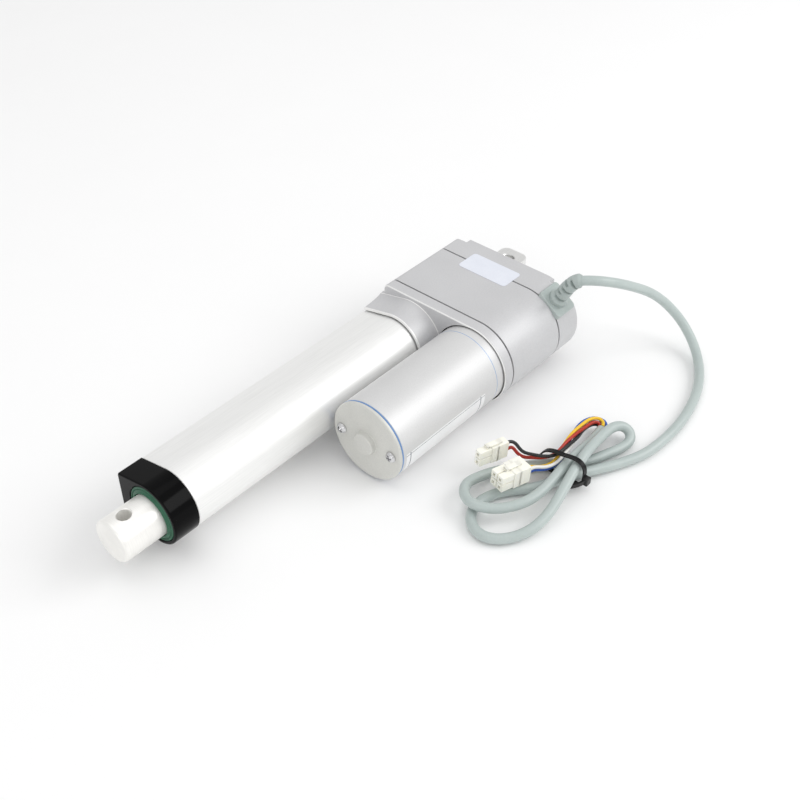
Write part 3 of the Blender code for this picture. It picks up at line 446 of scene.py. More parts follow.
def spline(points, step):
    """Points at an even step along a centripetal Catmull-Rom curve through the given ones."""
    pts = [Vector(p) for p in points]
    pts = [2 * pts[0] - pts[1]] + pts + [2 * pts[-1] - pts[-2]]
    fine = []
    for i in range(1, len(pts) - 2):
        p = pts[i - 1 : i + 3]
        t = [0.0]
        for a, b in zip(p, p[1:]):
            t.append(t[-1] + max((b - a).length, 1e-6) ** 0.5)
        for k in range(16):
            u = t[1] + (t[2] - t[1]) * k / 16
            blend = lambda a, b, ta, tb: a * ((tb - u) / (tb - ta)) + b * ((u - ta) / (tb - ta))
            a1, a2, a3 = blend(p[0], p[1], t[0], t[1]), blend(p[1], p[2], t[1], t[2]), blend(p[2], p[3], t[2], t[3])
            b1, b2 = blend(a1, a2, t[0], t[2]), blend(a2, a3, t[1], t[3])
            fine.append(blend(b1, b2, t[1], t[2]))
    fine.append(pts[-2])
    lengths = [0.0]
    for a, b in zip(fine, fine[1:]):
        lengths.append(lengths[-1] + (b - a).length)
    count = max(2, round(lengths[-1] / step))
    out, k = [], 0
    for i in range(count + 1):
        want = lengths[-1] * i / count
        while k < len(fine) - 2 and lengths[k + 1] < want:
            k += 1
        share = (want - lengths[k]) / max(lengths[k + 1] - lengths[k], 1e-9)
        out.append(fine[k].lerp(fine[k + 1], min(1.0, max(0.0, share))))
    return out


def smooth_line(points, rounds=2):
    points = [Vector(p) for p in points]
    for _ in range(rounds):
        points = [points[0]] + [(a + b * 2 + c) / 4 for a, b, c in zip(points, points[1:], points[2:])] + [points[-1]]
    return points


# ------------------------------------------------------------------ cords
def cable(name, route, r, mat, body="body", stands_for=(), slot=None, resolution=6):
    curve = bpy.data.curves.new(name, "CURVE")
    curve.dimensions = "3D"
    line = curve.splines.new("POLY")
    line.points.add(len(route) - 1)
    for point, at in zip(line.points, route):
        point.co = (*(at * MM), 1)
    line.use_smooth = True
    curve.bevel_depth = r * MM
    curve.bevel_resolution = resolution
    curve.use_fill_caps = True
    obj = bpy.data.objects.new(name, curve)
    scene.collection.objects.link(obj)
    curve.materials.append(M[mat])
    pieces.append((obj, body, stands_for, slot))
    return obj


CORD_POINTS = [
    (-100.2, 41.6, 53.0), (-103.2, 47.8, 54.3), (-108.3, 52.3, 53.0), (-114.2, 54.9, 50.2), (-126.0, 57.8, 43.1), (-137.2, 61.0, 35.3),
    (-147.0, 64.8, 25.9), (-153.5, 71.2, 15.5), (-153.8, 76.6, 10.0), (-151.7, 81.5, 6.6), (-147.5, 86.7, 4.2), (-136.4, 95.1, 2.7),
    (-123.7, 101.0, 2.5), (-110.2, 104.9, 2.5), (-96.3, 107.0, 2.5), (-82.3, 107.2, 2.5), (-68.3, 105.5, 2.5), (-55.3, 100.4, 2.5),
    (-42.7, 94.0, 3.2), (-36.4, 91.0, 3.9), (-30.1, 87.9, 3.6), (-18.0, 80.8, 2.5), (-7.0, 72.1, 2.5), (-0.7, 68.9, 2.5), (6.1, 67.6, 2.5),
    (12.9, 69.1, 2.5), (18.3, 73.5, 2.5), (20.6, 80.0, 2.5), (18.2, 86.5, 2.5), (13.0, 91.2, 2.6), (6.8, 94.3, 3.1),
    (0.0, 95.8, 4.1), (-6.9, 96.0, 5.6), (-13.7, 95.2, 7.4), (-20.5, 94.0, 9.0), (-27.3, 92.5, 10.1), (-34.1, 91.2, 10.8),
    (-41.1, 90.0, 11.1), (-48.0, 88.9, 10.8), (-55.0, 88.0, 9.7), (-62.0, 87.5, 9.0), (-68.2, 87.7, 8.4), (-73.0, 89.2, 7.2),
    (-75.2, 91.9, 5.4), (-74.0, 94.9, 3.6), (-70.0, 96.2, 2.7), (-63.4, 95.0, 2.5), (-56.6, 92.6, 2.5), (-49.9, 90.1, 2.5),
    (-43.8, 86.7, 2.9), (-38.4, 82.2, 3.7), (-33.5, 77.2, 3.8), (-28.7, 72.0, 3.0), (-23.4, 67.4, 2.5), (-17.6, 63.4, 2.7),
    (-11.3, 60.5, 3.4), (-4.6, 58.6, 4.3), (2.3, 58.2, 5.7), (8.5, 61.2, 7.1), (12.5, 66.7, 7.9), (11.4, 73.4, 7.7),
    (7.0, 78.8, 7.1), (1.2, 82.8, 6.9), (-5.1, 85.7, 7.2), (-12.0, 87.0, 7.7), (-19.1, 87.1, 8.2), (-26.1, 86.5, 8.5),
    (-33.1, 85.9, 8.6), (-40.1, 85.5, 8.5), (-47.1, 85.0, 7.6), (-54.0, 84.4, 6.1), (-60.9, 83.5, 5.1), (-67.8, 82.3, 4.0),
]
jacket_route = smooth_line(spline(CORD_POINTS, 1.6), 3)
jacket = cable("jacket_tube", jacket_route, JACKET_R, "jacket", stands_for=("cable_jacket",), slot="jacket_grey", resolution=8)

WIRE_POINTS = [
    (-68.4, 82.19, 3.9), (-69.8, 81.95, 3.7), (-71.5, 80.7, 4.2), (-70.9, 78.2, 5.1), (-67.2, 76.4, 6.1), (-60.6, 76.1, 7.0), (-53.0, 77.2, 7.4),
    (-45.3, 78.7, 8.1), (-37.6, 80.2, 8.8), (-31.3, 80.7, 8.5), (-26.4, 79.0, 8.6), (-20.0, 75.0, 9.6),
]
MOTOR_WIRE_POINTS = [
    (-33.2, 79.6, 8.7), (-29.8, 76.3, 8.6), (-27.4, 71.6, 8.4), (-26.2, 67.4, 8.0), (-27.0, 63.8, 8.4), (-27.6, 61.0, 9.7),
]
PLUG_AXIS = Vector((0.965, -0.24, 0.08)).normalized()
PLUG_SIDE = Vector((0, 0, 1)).cross(PLUG_AXIS).normalized()
PLUG_UP = PLUG_AXIS.cross(PLUG_SIDE)
SENSOR_FRONT = Vector((-2.5, 70.3, 11.2))
MOTOR_PLUG_FRONT = Vector((-7.7, 55.6, 11.9))
PLUG_LENGTH = 16.0
PITCH = 4.2


def wire_route(order):
    turn = 2 * math.pi * (order / 5) + 0.3
    start = (1.62 * math.cos(turn), 1.62 * math.sin(turn))
    if order < 2:
        route, front, end = WIRE_POINTS[:9] + MOTOR_WIRE_POINTS, MOTOR_PLUG_FRONT, (0.0, 2.0 * (2 * order - 1))
        leads = ((2.4, end), (0.0, end), (-1.2, end))
    else:
        route, front, end = WIRE_POINTS, SENSOR_FRONT, start
        last = (2.5 * math.cos(turn), 2.4 * math.sin(turn))
        leads = ((3.4, (2.1 * math.cos(turn), 2.0 * math.sin(turn))), (0.0, last), (-1.2, last))
    route = [Vector(p) for p in route]
    count = len(route)
    entry = front - PLUG_AXIS * (PLUG_LENGTH + 0.4)
    points = []
    for i, at in enumerate(route):
        ahead = route[min(i + 1, count - 1)] - route[max(i - 1, 0)]
        side = ahead.cross(Vector((0, 0, 1))).normalized()
        rise_way = side.cross(ahead).normalized()
        share = min(1.0, max(0.0, (i - 9) / 4))
        across, rise = (a + (b - a) * share for a, b in zip(start, end))
        twist = math.radians(144) * min(1.0, max(0.0, (8 - i) / 3))
        across, rise = across * math.cos(twist) - rise * math.sin(twist), across * math.sin(twist) + rise * math.cos(twist)
        points.append(at + side * across + rise_way * rise)
    if order >= 2:
        points = points[:-1]
    for back, (wide, high) in leads:
        points.append(entry - PLUG_AXIS * back - PLUG_SIDE * wide + PLUG_UP * high)
    return smooth_line(spline(points, 0.9), 4)


wires, routes = {}, {}
for order, color in enumerate(("red", "black", "white", "blue", "yellow")):
    route = wire_route(order)
    routes[color] = route
    wires[color] = cable("wire_tube_" + color, route, WIRE_R, "w_" + color, stands_for=("wire_" + color,), slot="wire_" + color, resolution=5)


# ------------------------------------------------------------------ tube, cap, seal, rod
bm = loft_bm([
    along_x(bullet(-0.25), 101.9), along_x(bullet(0.0), 101.65), along_x(bullet(0.0), -51.8), along_x(bullet(-0.2), -52.0),
    along_x(bullet(-1.7), -52.0), along_x(bullet(-1.7), 101.9),
], closed=True)
place("tube_profile", mesh_of("tube_profile", bm), "anodised", "body", ("outer_tube",), "anodised", sharp=40)

cap = mesh_of("cap", loft_bm(rounded(lambda inset: bullet(0.2 - inset, nose=1.1), CAP_REAR - 0.1, CAP_FRONT, 0.25, 0.85, 3)))
bore = round_profile(
    [(0, CAP_FRONT + 2), (SEAL_R + 1.1, CAP_FRONT + 2), (SEAL_R + 1.1, CAP_FRONT + 0.6), (SEAL_R + 0.25, CAP_FRONT - 0.35), (SEAL_R + 0.25, CAP_FRONT - 3.2), (ROD_R + 0.5, CAP_FRONT - 3.2),
     (ROD_R + 0.5, CAP_FRONT - 4.4), (11.9, CAP_FRONT - 4.4), (11.9, CAP_REAR - 2), (0, CAP_REAR - 2)], [0] * 10)
cap = cut(cap, [turned_mesh("bore", bore, TUBE_Y, AXIS_Z, 96)])
place("tube_end_cap", cap, "cap", "body", ("front_cap",), "cap_black", sharp=25)

seal = round_profile(
    [(SEAL_R, CAP_FRONT - 2.9), (SEAL_R, CAP_FRONT - 0.25), (SEAL_R - 0.75, CAP_FRONT - 0.05), (SEAL_R - 1.05, CAP_FRONT - 0.7), (SEAL_R - 1.35, CAP_FRONT - 0.1),
     (ROD_R + 1.25, CAP_FRONT + 0.2), (ROD_R + 0.95, CAP_FRONT + 0.68), (ROD_R + 0.35, CAP_FRONT + 0.65), (ROD_R + 0.16, CAP_FRONT - 2.9)],
    [0, 0.3, 0.2, 0.2, 0.25, 0.2, 0.25, 0.2, 0], 4)
place("wiper_ring", turned_mesh("wiper_ring", seal, TUBE_Y, AXIS_Z, 96, closed=True), "green", "body", ("wiper_seal",), "seal_green", sharp=50)

rod = round_profile(
    [(0, ROD_TIP), (ROD_R, ROD_TIP), (ROD_R, -48.2), (ROD_BORE_R, -48.2), (ROD_BORE_R, ROD_END_X), (0, ROD_END_X)],
    [0, 1.15, 0.3, 0, 0, 0], 4)
pin_cut = mesh_of("pin", loft_bm([
    [(PIN_X + q * math.cos(2 * math.pi * i / 64), TUBE_Y + q * math.sin(2 * math.pi * i / 64), AXIS_Z + h) for i in range(64)]
    for q, h in ((PIN_R + 3.2, -13.2), (PIN_R, -9.4), (PIN_R, 9.4), (PIN_R + 3.2, 13.2))
]))
place("rod_bar", cut(turned_mesh("rod_bar", rod, TUBE_Y, AXIS_Z, 112), [pin_cut]), "rod", "rod", ("rod_tube", "rod_end"), "anodised", sharp=30)


# ------------------------------------------------------------------ housing slices
SEAM = 0.42
plate = mesh_of("plate", loft_bm(rounded(housing, JOINT_1 + SEAM, FRONT_X, 0.22, 0.9, 4)))
boss_sections = [
    along_x(bullet(4.2), FRONT_X - 2.0), along_x(bullet(4.2), FRONT_X + 0.05), along_x(bullet(4.05), FRONT_X + 0.5),
    along_x(bullet(3.2), -47.0), along_x(bullet(2.55), -44.0), along_x(bullet(2.1), -41.0), along_x(bullet(1.88), -38.4),
    along_x(bullet(1.8), -37.4), along_x(bullet(1.7), -36.95), along_x(bullet(1.45), -36.68), along_x(bullet(1.1), -36.6),
]
boss = cut(mesh_of("boss", loft_bm(boss_sections)), [box_mesh((FRONT_X - 5, HOUSE_LEFT - 30, -10), (0, HOUSE_LEFT - 1.7, 60))])
front = cut(plate, [boss], "UNION")
front_cuts = [
    mesh_of("pocket", loft_bm([along_x(bullet(0.7), -52.3), along_x(bullet(0.7), 0)])),
    rod_mesh(12.9, -70, -40, TUBE_Y, AXIS_Z),
    rod_mesh(MOTOR_R + 0.62, -53.2, 0, MOTOR_Y, AXIS_Z, 128),
    rod_mesh(6.4, -70, -40, MOTOR_Y, AXIS_Z),
    rod_mesh(2.3, -60, -53.2, 0.0, AXIS_Z, 32),
]
for y, z in SCREW_AT:
    front_cuts.append(rod_mesh(1.6, -60, -53.4, y, z, 24))
front_shell = place("front_shell", cut(front, front_cuts), "paint", "body", ("front_housing",), "housing_paint", sharp=28)
# painted highlight: the plate's rim bevel, the boss's flare root and the boss's front lip take a much lighter paint,
# standing in for the light these edges catch
front_shell.data.materials.append(M["paint_highlight"])
for face in front_shell.data.polygons:
    x, slope = face.center.x / MM, face.normal.x
    highlit_rim = FRONT_X - 1.0 < x < FRONT_X - 0.02 and 0.2 < slope < 0.97
    highlit_flare = FRONT_X + 0.01 < x < FRONT_X + 0.55
    highlit_lip = x > -37.45 and slope > -0.5
    if highlit_rim or highlit_flare or highlit_lip:
        face.material_index = 1
# painted shade: the walls of the motor and tube pockets, where the clearance gap lies in shade, take the near-black
# gasket material
front_shell.data.materials.append(M["gasket"])
pocket_line = [Vector(p) for p in bullet(0.7, 144)]
for face in front_shell.data.polygons:
    x, y, z = face.center / MM
    painted_shade_motor = abs(math.hypot(y - MOTOR_Y, z - AXIS_Z) - MOTOR_R - 0.62) < 0.08 and x < FRONT_X - 0.1
    painted_shade_tube = -52.4 < x < -37.4 and abs(face.normal.x) < 0.3 and min((Vector((y, z)) - p).length for p in pocket_line) < 0.55
    if painted_shade_motor or painted_shade_tube:
        face.material_index = 2

for name, node, x in (("seam_gasket_front", "gasket_front", JOINT_1), ("seam_gasket_rear", "gasket_rear", JOINT_2)):
    bm = loft_bm([along_x(housing(1.15), x - 0.40), along_x(housing(1.1), x), along_x(housing(1.15), x + 0.40),
                  along_x(housing(WALL), x + 0.40), along_x(housing(WALL), x - 0.40)], closed=True)
    place(name, mesh_of(name, bm), "gasket", "body", (node,), "gasket")

mid_sections = rounded(housing, JOINT_2 + SEAM, JOINT_1 - SEAM, 0.22, 0.22, 3)
mid_sections += [along_x(housing(WALL), JOINT_1 - SEAM), along_x(housing(WALL), JOINT_2 + SEAM)]

cover_x = JOINT_2 - SEAM
cover = mesh_of("cover", loft_bm(rounded(housing, REAR_X, cover_x, 1.3, 0.22, 4)))
CLEVIS_HALF, CLEVIS_ROOT = 5.0, 4.8
GLAND_X = (-106.25, -93.55)
gland_turn = math.radians(54)
gland_n = Vector((0, math.cos(gland_turn), math.sin(gland_turn)))
gland_t = Vector((0, -math.sin(gland_turn), math.cos(gland_turn)))
gland_base = Vector((sum(GLAND_X) / 2, MOTOR_Y, AXIS_Z)) + gland_n * 20.1


def slab_outline(x_half, t_half, corner, steps=6):
    out = []
    for sx, st, first in ((1, 1, 0), (-1, 1, 90), (-1, -1, 180), (1, -1, 270)):
        for k in range(steps + 1):
            a = math.radians(first + 90 * k / steps)
            out.append((sx * (x_half - corner) + corner * math.cos(a), st * (t_half - corner) + corner * math.sin(a)))
    return out


def slab_section(x_half, t_half, corner, n):
    return [tuple(gland_base + Vector((a + 0.9, 0, 0)) + gland_t * (b - 1.1) + gland_n * n) for a, b in slab_outline(x_half, t_half, corner)]


def gland_seat():
    return mesh_of("seat", loft_bm([slab_section(7.02, 7.85, 2.1, -0.9), slab_section(7.02, 7.85, 2.1, 8.0)]))


cover_cuts = [
    rod_mesh(11.3, -101.6, -80, TUBE_Y, AXIS_Z),
    box_mesh((-104.9, TUBE_Y - 12.3, AXIS_Z - 5.1), (-101.0, TUBE_Y + 12.3, AXIS_Z + 5.1)),
    box_mesh((-112, TUBE_Y - 8.1, AXIS_Z - 5.1), (-104.0, TUBE_Y + 8.1, AXIS_Z + 5.1)),
    rod_mesh(2.3, -96.4, -80, 0.0, AXIS_Z, 32),
    rod_mesh(13.0, -103.0, -80, MOTOR_Y + 2.0, AXIS_Z),
    gland_seat(),
]
for y, z in SCREW_AT:
    cover_cuts.append(rod_mesh(1.6, -110, -80, y, z, 24))
for y, z in SCREW_AT:
    way = 1 if z > AXIS_Z else -1
    low, high = sorted((z - way * 3.4, z + way * 20))
    side = (y - 30, y + 3.4) if y < 0 else (y - 3.4, y + 30)
    cover_cuts.append(box_mesh((REAR_X - 5, side[0], low), (POCKET_X, side[1], high), 0.6, 3))
place("rear_shell", cut(cover, cover_cuts), "paint", "body", ("rear_cover",), "housing_paint", sharp=28)
place("middle_shell", cut(mesh_of("middle_shell", loft_bm(mid_sections, closed=True)), [gland_seat()]), "paint", "body", ("middle_housing",),
      "housing_paint", sharp=40)

# rear clevis: a tongue with rounded rims, and its root in the cover
def tongue_outline(inset):
    r, corner = 8.0 - inset, 4.2 - inset
    out = []
    for way in (1, -1):
        for k in range(13):
            a = math.pi / 2 * (k / 12 if way == 1 else 1 - k / 12)
            out.append((-127.65 - r + corner - corner * math.sin(a), TUBE_Y + way * (r - corner + corner * math.cos(a))))
    return out + [(-109.4, TUBE_Y - r), (-109.4, TUBE_Y + r)]


sections = []
for z, inset in ((-5.0, 0.6), (-4.85, 0.22), (-4.4, 0.0), (4.4, 0.0), (4.85, 0.22), (5.0, 0.6)):
    sections.append([(x, y, AXIS_Z + z) for x, y in tongue_outline(inset)])
tongue = mesh_of("tongue", loft_bm(sections))
root = [(-111.4, TUBE_Y + 7.8), (-111.4, TUBE_Y - 7.8), (-104.6, TUBE_Y - 7.8), (-104.6, TUBE_Y - 12.0),
        (-102.0, TUBE_Y - 12.0), (-102.0, TUBE_Y + 12.0), (-104.6, TUBE_Y + 12.0), (-104.6, TUBE_Y + 7.8)]
root_mesh = mesh_of("root", loft_bm([[(x, y, AXIS_Z - CLEVIS_ROOT) for x, y in root], [(x, y, AXIS_Z + CLEVIS_ROOT) for x, y in root]]))
pin = mesh_of("pin2", loft_bm([
    [(-127.65 + q * math.cos(2 * math.pi * i / 64), TUBE_Y + q * math.sin(2 * math.pi * i / 64), AXIS_Z + h) for i in range(64)]
    for q, h in ((PIN_R + 1.4, -6.0), (PIN_R + 0.5, -5.05), (PIN_R, -4.5), (PIN_R, 4.5), (PIN_R + 0.5, 5.05), (PIN_R + 1.4, 6.0))
]))
place("rear_tongue", cut(cut(tongue, [root_mesh], "UNION"), [pin]), "clevis", "body", ("rear_clevis",), "anodised", sharp=30)


# ------------------------------------------------------------------ screws with cross recesses
def cross_cut(x, y, z, way, size, depth, angle):
    """Two crossed wedges that narrow inwards, for a cross recess in a head that faces +X (way 1) or -X (way -1)."""
    out = []
    for extra in (0.0, math.pi / 2):
        sections = []
        for wide, tall, h in ((size * 1.05, size * 0.26, 0.6), (size * 0.9, size * 0.2, -depth * 0.4), (size * 0.3, size * 0.12, -depth)):
            c, s = math.cos(angle + extra), math.sin(angle + extra)
            sections.append([(x + way * h, y + i * wide * c - j * tall * s, z + i * wide * s + j * tall * c) for i, j in ((1, 1), (-1, 1), (-1, -1), (1, -1))])
        out.append(mesh_of("cross", loft_bm(sections)))
    return out


for k, (y, z) in enumerate(SCREW_AT):
    profile = round_profile([(0, -53.8), (1.25, -53.8), (1.25, -104.75), (2.75, -104.75), (2.75, -106.3), (2.3, -106.95), (0.9, -107.2), (0, -107.2)],
                            [0, 0.2, 0, 0.15, 0.4, 0.4, 0.2, 0], 4)
    head = cut(turned_mesh("screw", profile, y, z, 48), cross_cut(-107.1, y, z, -1, 1.5, 1.6, 0.5 + k))
    place("cover_screw_%d" % (k + 1), head, "steel", "body", ("housing_screw_%d" % (k + 1),), "steel", sharp=30)

for name, node, way, angle in (("pan_screw_left", "motor_screw_left", -1, 0.75), ("pan_screw_right", "motor_screw_right", 1, 0.25)):
    y = MOTOR_Y + way * 14.5
    profile = round_profile([(0, 25.95), (1.0, 25.9), (2.1, 25.5), (2.65, 24.7), (2.65, 23.98), (1.2, 23.98), (1.2, 17.2), (0, 17.2)],
                            [0, 0.5, 0.6, 0.3, 0.1, 0, 0, 0], 4)
    head = cut(turned_mesh("screw", profile, y, AXIS_Z, 48), cross_cut(25.85, y, AXIS_Z, 1, 1.55, 1.4, angle))
    place(name, head, "steel", "body", (node,), "steel", sharp=30)


# ------------------------------------------------------------------ motor
can = round_profile([(18.7, 21.62), (MOTOR_R, 21.62), (MOTOR_R, -52.9), (4.4, -52.9), (4.4, -51.6), (18.7, -51.6)], [0, 0.35, 0.8, 0, 0, 0], 5)
place("motor_shell", turned_mesh("motor_shell", can, MOTOR_Y, AXIS_Z, 144, closed=True), "motor", "body", ("motor_can",), "motor_paint", sharp=30)

band = round_profile([(18.7, 21.7), (MOTOR_R + 0.02, 21.7), (MOTOR_R + 0.02, 22.4), (18.7, 22.4)], [0, 0.1, 0.1, 0], 2)
place("motor_band", turned_mesh("motor_band", band, MOTOR_Y, AXIS_Z, 144, closed=True), "bluering", "body", ("motor_seal_ring",), "blue_rubber", sharp=50)

end = round_profile(
    [(0, 26.9), (5.5, 26.9), (5.65, 24.05), (16.6, 23.95), (MOTOR_R, 23.95), (MOTOR_R, 22.5), (18.4, 22.5), (18.4, 19.5), (4.4, 19.5), (4.4, 26.45), (0, 26.45)],
    [0, 0.75, 0.45, 0, 0.8, 0.1, 0, 0, 0, 0, 0], 6)
end = cut(turned_mesh("end", end, MOTOR_Y, AXIS_Z, 144), [rod_mesh(1.5, 10, 40, MOTOR_Y - 14.5, AXIS_Z, 32), rod_mesh(1.5, 10, 40, MOTOR_Y + 14.5, AXIS_Z, 32)])
place("motor_cover", end, "endcap", "body", ("motor_end_cap",), "motor_paint", sharp=28)
shaft = round_profile([(0, 26.2), (1.6, 26.2), (1.6, -66.3), (0, -66.3)], [0, 0.3, 0.3, 0], 3)
place("motor_shaft", turned_mesh("motor_shaft", shaft, MOTOR_Y, AXIS_Z, 40), "steel", "rotor", ("rotor_shaft",), "steel")

# labels: thin sheets, the seal label with rounded corners
sections = []
for inset, z in ((0.0, 42.03), (0.0, 42.16), (0.1, 42.22)):
    x0, x1, y0, y1 = -99.6 + inset, -85.6 - inset, -20.0 + inset, 9.0 - inset
    sections.append([(x, y, z) for x, y in fillet([(x1, y1), (x0, y1), (x0, y0), (x1, y0)], [1.8 - inset] * 4, 8)])
place("blank_seal", mesh_of("blank_seal", loft_bm(sections)), "seal_label", "body", ("seal_label",), "label")


def label_point(x, angle, r):
    return (x, MOTOR_Y + r * math.cos(math.radians(angle)), AXIS_Z + r * math.sin(math.radians(angle)))


bm = bmesh.new()
grid = {}
nx, na = 56, 40
for layer, r in ((0, MOTOR_R + 0.01), (1, MOTOR_R + 0.1)):
    for i in range(nx + 1):
        for j in range(na + 1):
            x = -35.0 + 55.0 * i / nx
            angle = -58.0 + 62.0 * j / na
            grid[layer, i, j] = bm.verts.new(Vector(label_point(x, angle, r)) * MM)
for i in range(nx):
    for j in range(na):
        bm.faces.new((grid[1, i, j], grid[1, i + 1, j], grid[1, i + 1, j + 1], grid[1, i, j + 1]))
        bm.faces.new((grid[0, i, j + 1], grid[0, i + 1, j + 1], grid[0, i + 1, j], grid[0, i, j]))
for i in range(nx):
    bm.faces.new((grid[0, i, 0], grid[0, i + 1, 0], grid[1, i + 1, 0], grid[1, i, 0]))
    bm.faces.new((grid[1, i, na], grid[1, i + 1, na], grid[0, i + 1, na], grid[0, i, na]))
for j in range(na):
    bm.faces.new((grid[1, 0, j], grid[1, 0, j + 1], grid[0, 0, j + 1], grid[0, 0, j]))
    bm.faces.new((grid[0, nx, j], grid[0, nx, j + 1], grid[1, nx, j + 1], grid[1, nx, j]))
place("blank_strip", mesh_of("blank_strip", bm), "motor_label", "body", ("motor_label",), "label")


# ------------------------------------------------------------------ gland: flange, base ring and a ribbed stem that bends with the cord
bm = bmesh.new()
add_loft(bm, [slab_section(6.95, 7.75, 2.0, -0.8), slab_section(6.95, 7.75, 2.0, 1.7), slab_section(6.85, 7.65, 1.95, 1.95), slab_section(6.55, 7.35, 1.8, 2.1),
              slab_section(6.1, 6.9, 1.6, 2.1), slab_section(5.8, 6.6, 1.5, 1.95)])
start_dir = (jacket_route[3] - jacket_route[0]).normalized()
p0, p3 = gland_base + gland_n * 1.6 + Vector((0.9, 0, 0)) - gland_t * 0.9, jacket_route[1]
p1, p2 = p0 + gland_n * 7.0, p3 - start_dir * 6.0
stem_profile = []
steps = 150
for k in range(steps + 1):
    t = k / steps
    at = p0 * (1 - t) ** 3 + p1 * 3 * t * (1 - t) ** 2 + p2 * 3 * t * t * (1 - t) + p3 * t ** 3
    ahead = ((p1 - p0) * (1 - t) ** 2 + (p2 - p1) * 2 * t * (1 - t) + (p3 - p2) * t * t).normalized()
    stem_profile.append((t, at, ahead))
frame_side = Vector((1, 0, 0))
sections = []
around = 64
for t, at, ahead in stem_profile:
    frame_up = ahead.cross(frame_side).normalized()
    frame_side = frame_up.cross(ahead).normalized()
    if t < 0.15:
        full = 4.7 if t < 0.11 else 4.7 - (t - 0.11) / 0.04 * 0.95
    else:
        full = 3.75 - (t - 0.15) * 0.35
    ring_points = []
    for i in range(around):
        a = 2 * math.pi * i / around
        r = full
        if 0.17 <= t < 0.9:
            cell = (t - 0.17) / 0.146
            index, local = int(cell), cell - int(cell)
            if local < 0.5:
                phase = 1.2 + index * math.pi
                depth = 1 / (1 + math.exp(-16 * (math.cos(a - phase) + 0.25)))
                edge = min(1.0, min(local, 0.5 - local) / 0.07)
                r = full - 2.3 * depth * edge
        elif t >= 0.94:
            r = full - (t - 0.94) / 0.06 * 0.8
        ring_points.append(tuple(at + (frame_side * math.cos(a) + frame_up * math.sin(a)) * r))
    sections.append(ring_points)
add_loft(bm, sections)
place("strain_relief", mesh_of("strain_relief", bm), "gland", "body", ("cable_gland",), "jacket_grey", sharp=38)


# ------------------------------------------------------------------ connectors
def plug_block(bm, front, a0, a1, s0, s1, u0, u1, bevel=0.25):
    part = bmesh.new()
    corners = []
    for a in (a0, a1):
        middle = front - PLUG_AXIS * a
        corners.append([part.verts.new((middle + PLUG_SIDE * s + PLUG_UP * u) * MM) for s, u in ((s1, u1), (s0, u1), (s0, u0), (s1, u0))])
    for i in range(4):
        j = (i + 1) % 4
        part.faces.new((corners[0][i], corners[0][j], corners[1][j], corners[1][i]))
    part.faces.new(corners[0])
    part.faces.new(list(reversed(corners[1])))
    bmesh.ops.recalc_face_normals(part, faces=part.faces)
    if bevel:
        bmesh.ops.bevel(part, geom=part.edges[:], offset=bevel * MM, segments=2, profile=0.5, affect="EDGES")
    mesh = bpy.data.meshes.new("part")
    part.to_mesh(mesh)
    part.free()
    bm.from_mesh(mesh)
    bpy.data.meshes.remove(mesh)


for name, node, front, columns in (("sensor_plug", "connector_sensor", SENSOR_FRONT, (-0.5, 0.5)), ("motor_plug", "connector_motor", MOTOR_PLUG_FRONT, (0.0,))):
    wide = 2.35 + PITCH * (len(columns) - 1) / 2
    bm = bmesh.new()
    holes = []
    for column in columns:
        for row in (-0.5, 0.5):
            s, u = column * PITCH, row * PITCH
            plug_block(bm, front, 0.0, 9.0, s - 1.92, s + 1.92, u - 1.92, u + 1.92, 0.35)
            hole = bmesh.new()
            plug_block(hole, front, -2.0, 6.0, s - 0.72, s + 0.72, u - 0.72, u + 0.72, 0.0)
            holes.append(mesh_of("hole", hole))
    shell = bmesh.new()
    plug_block(shell, front, 6.6, PLUG_LENGTH, -wide, wide, -4.4, 4.4, 0.35)
    plug_block(shell, front, 9.5, 10.6, -wide - 0.0, wide + 0.0, -4.45, 4.45, 0.15)
    plug_block(shell, front, 4.2, 12.6, -1.35, 1.35, 4.75, 5.45, 0.2)
    plug_block(shell, front, 4.2, 5.6, -1.35, 1.35, 4.2, 5.5, 0.2)
    plug_block(shell, front, 10.4, 12.8, -1.35, 1.35, 4.0, 5.5, 0.2)
    mesh = mesh_of(name, bm)
    mesh = cut(mesh, holes)
    both = bmesh.new()
    both.from_mesh(mesh)
    extra = mesh_of("extra", shell)
    both.from_mesh(extra)
    place(name, mesh_of(name, both), "connector", "body", (node,), "nylon", sharp=35)
    # painted shade: a near-black block deep in each socket, standing for the shade inside the hole
    socket_shade_bm = bmesh.new()
    for column in columns:
        for row in (-0.5, 0.5):
            s, u = column * PITCH, row * PITCH
            plug_block(socket_shade_bm, front, 1.2, 5.9, s - 0.71, s + 0.71, u - 0.71, u + 0.71, 0.08)
    place(name + "_socket_shade", mesh_of(name + "_socket_shade", socket_shade_bm), "socket_shade", "body")


# ------------------------------------------------------------------ cable tie
TIE_X, TIE_HALF, TIE_THICK = -33.6, 1.2, 0.9
TIE_LOOP = [
    (73.0, 2.2), (72.1, 4.2), (72.9, 6.8), (75.4, 10.2), (79.4, 12.1), (84.2, 12.9), (88.0, 13.9), (91.4, 14.2), (94.2, 12.8),
    (95.2, 9.8), (95.0, 5.0), (93.9, 2.4), (92.2, 1.1), (75.0, 1.1),
]


def closed_curve(points, per):
    pts = [Vector(p) for p in points]
    out = []
    for i in range(len(pts)):
        a, b, c, d = pts[i - 1], pts[i], pts[(i + 1) % len(pts)], pts[(i + 2) % len(pts)]
        for k in range(per):
            t = k / per
            out.append(0.5 * ((2 * b) + (c - a) * t + (2 * a - 5 * b + 4 * c - d) * t * t + (3 * b - a - 3 * c + d) * t ** 3))
    return out


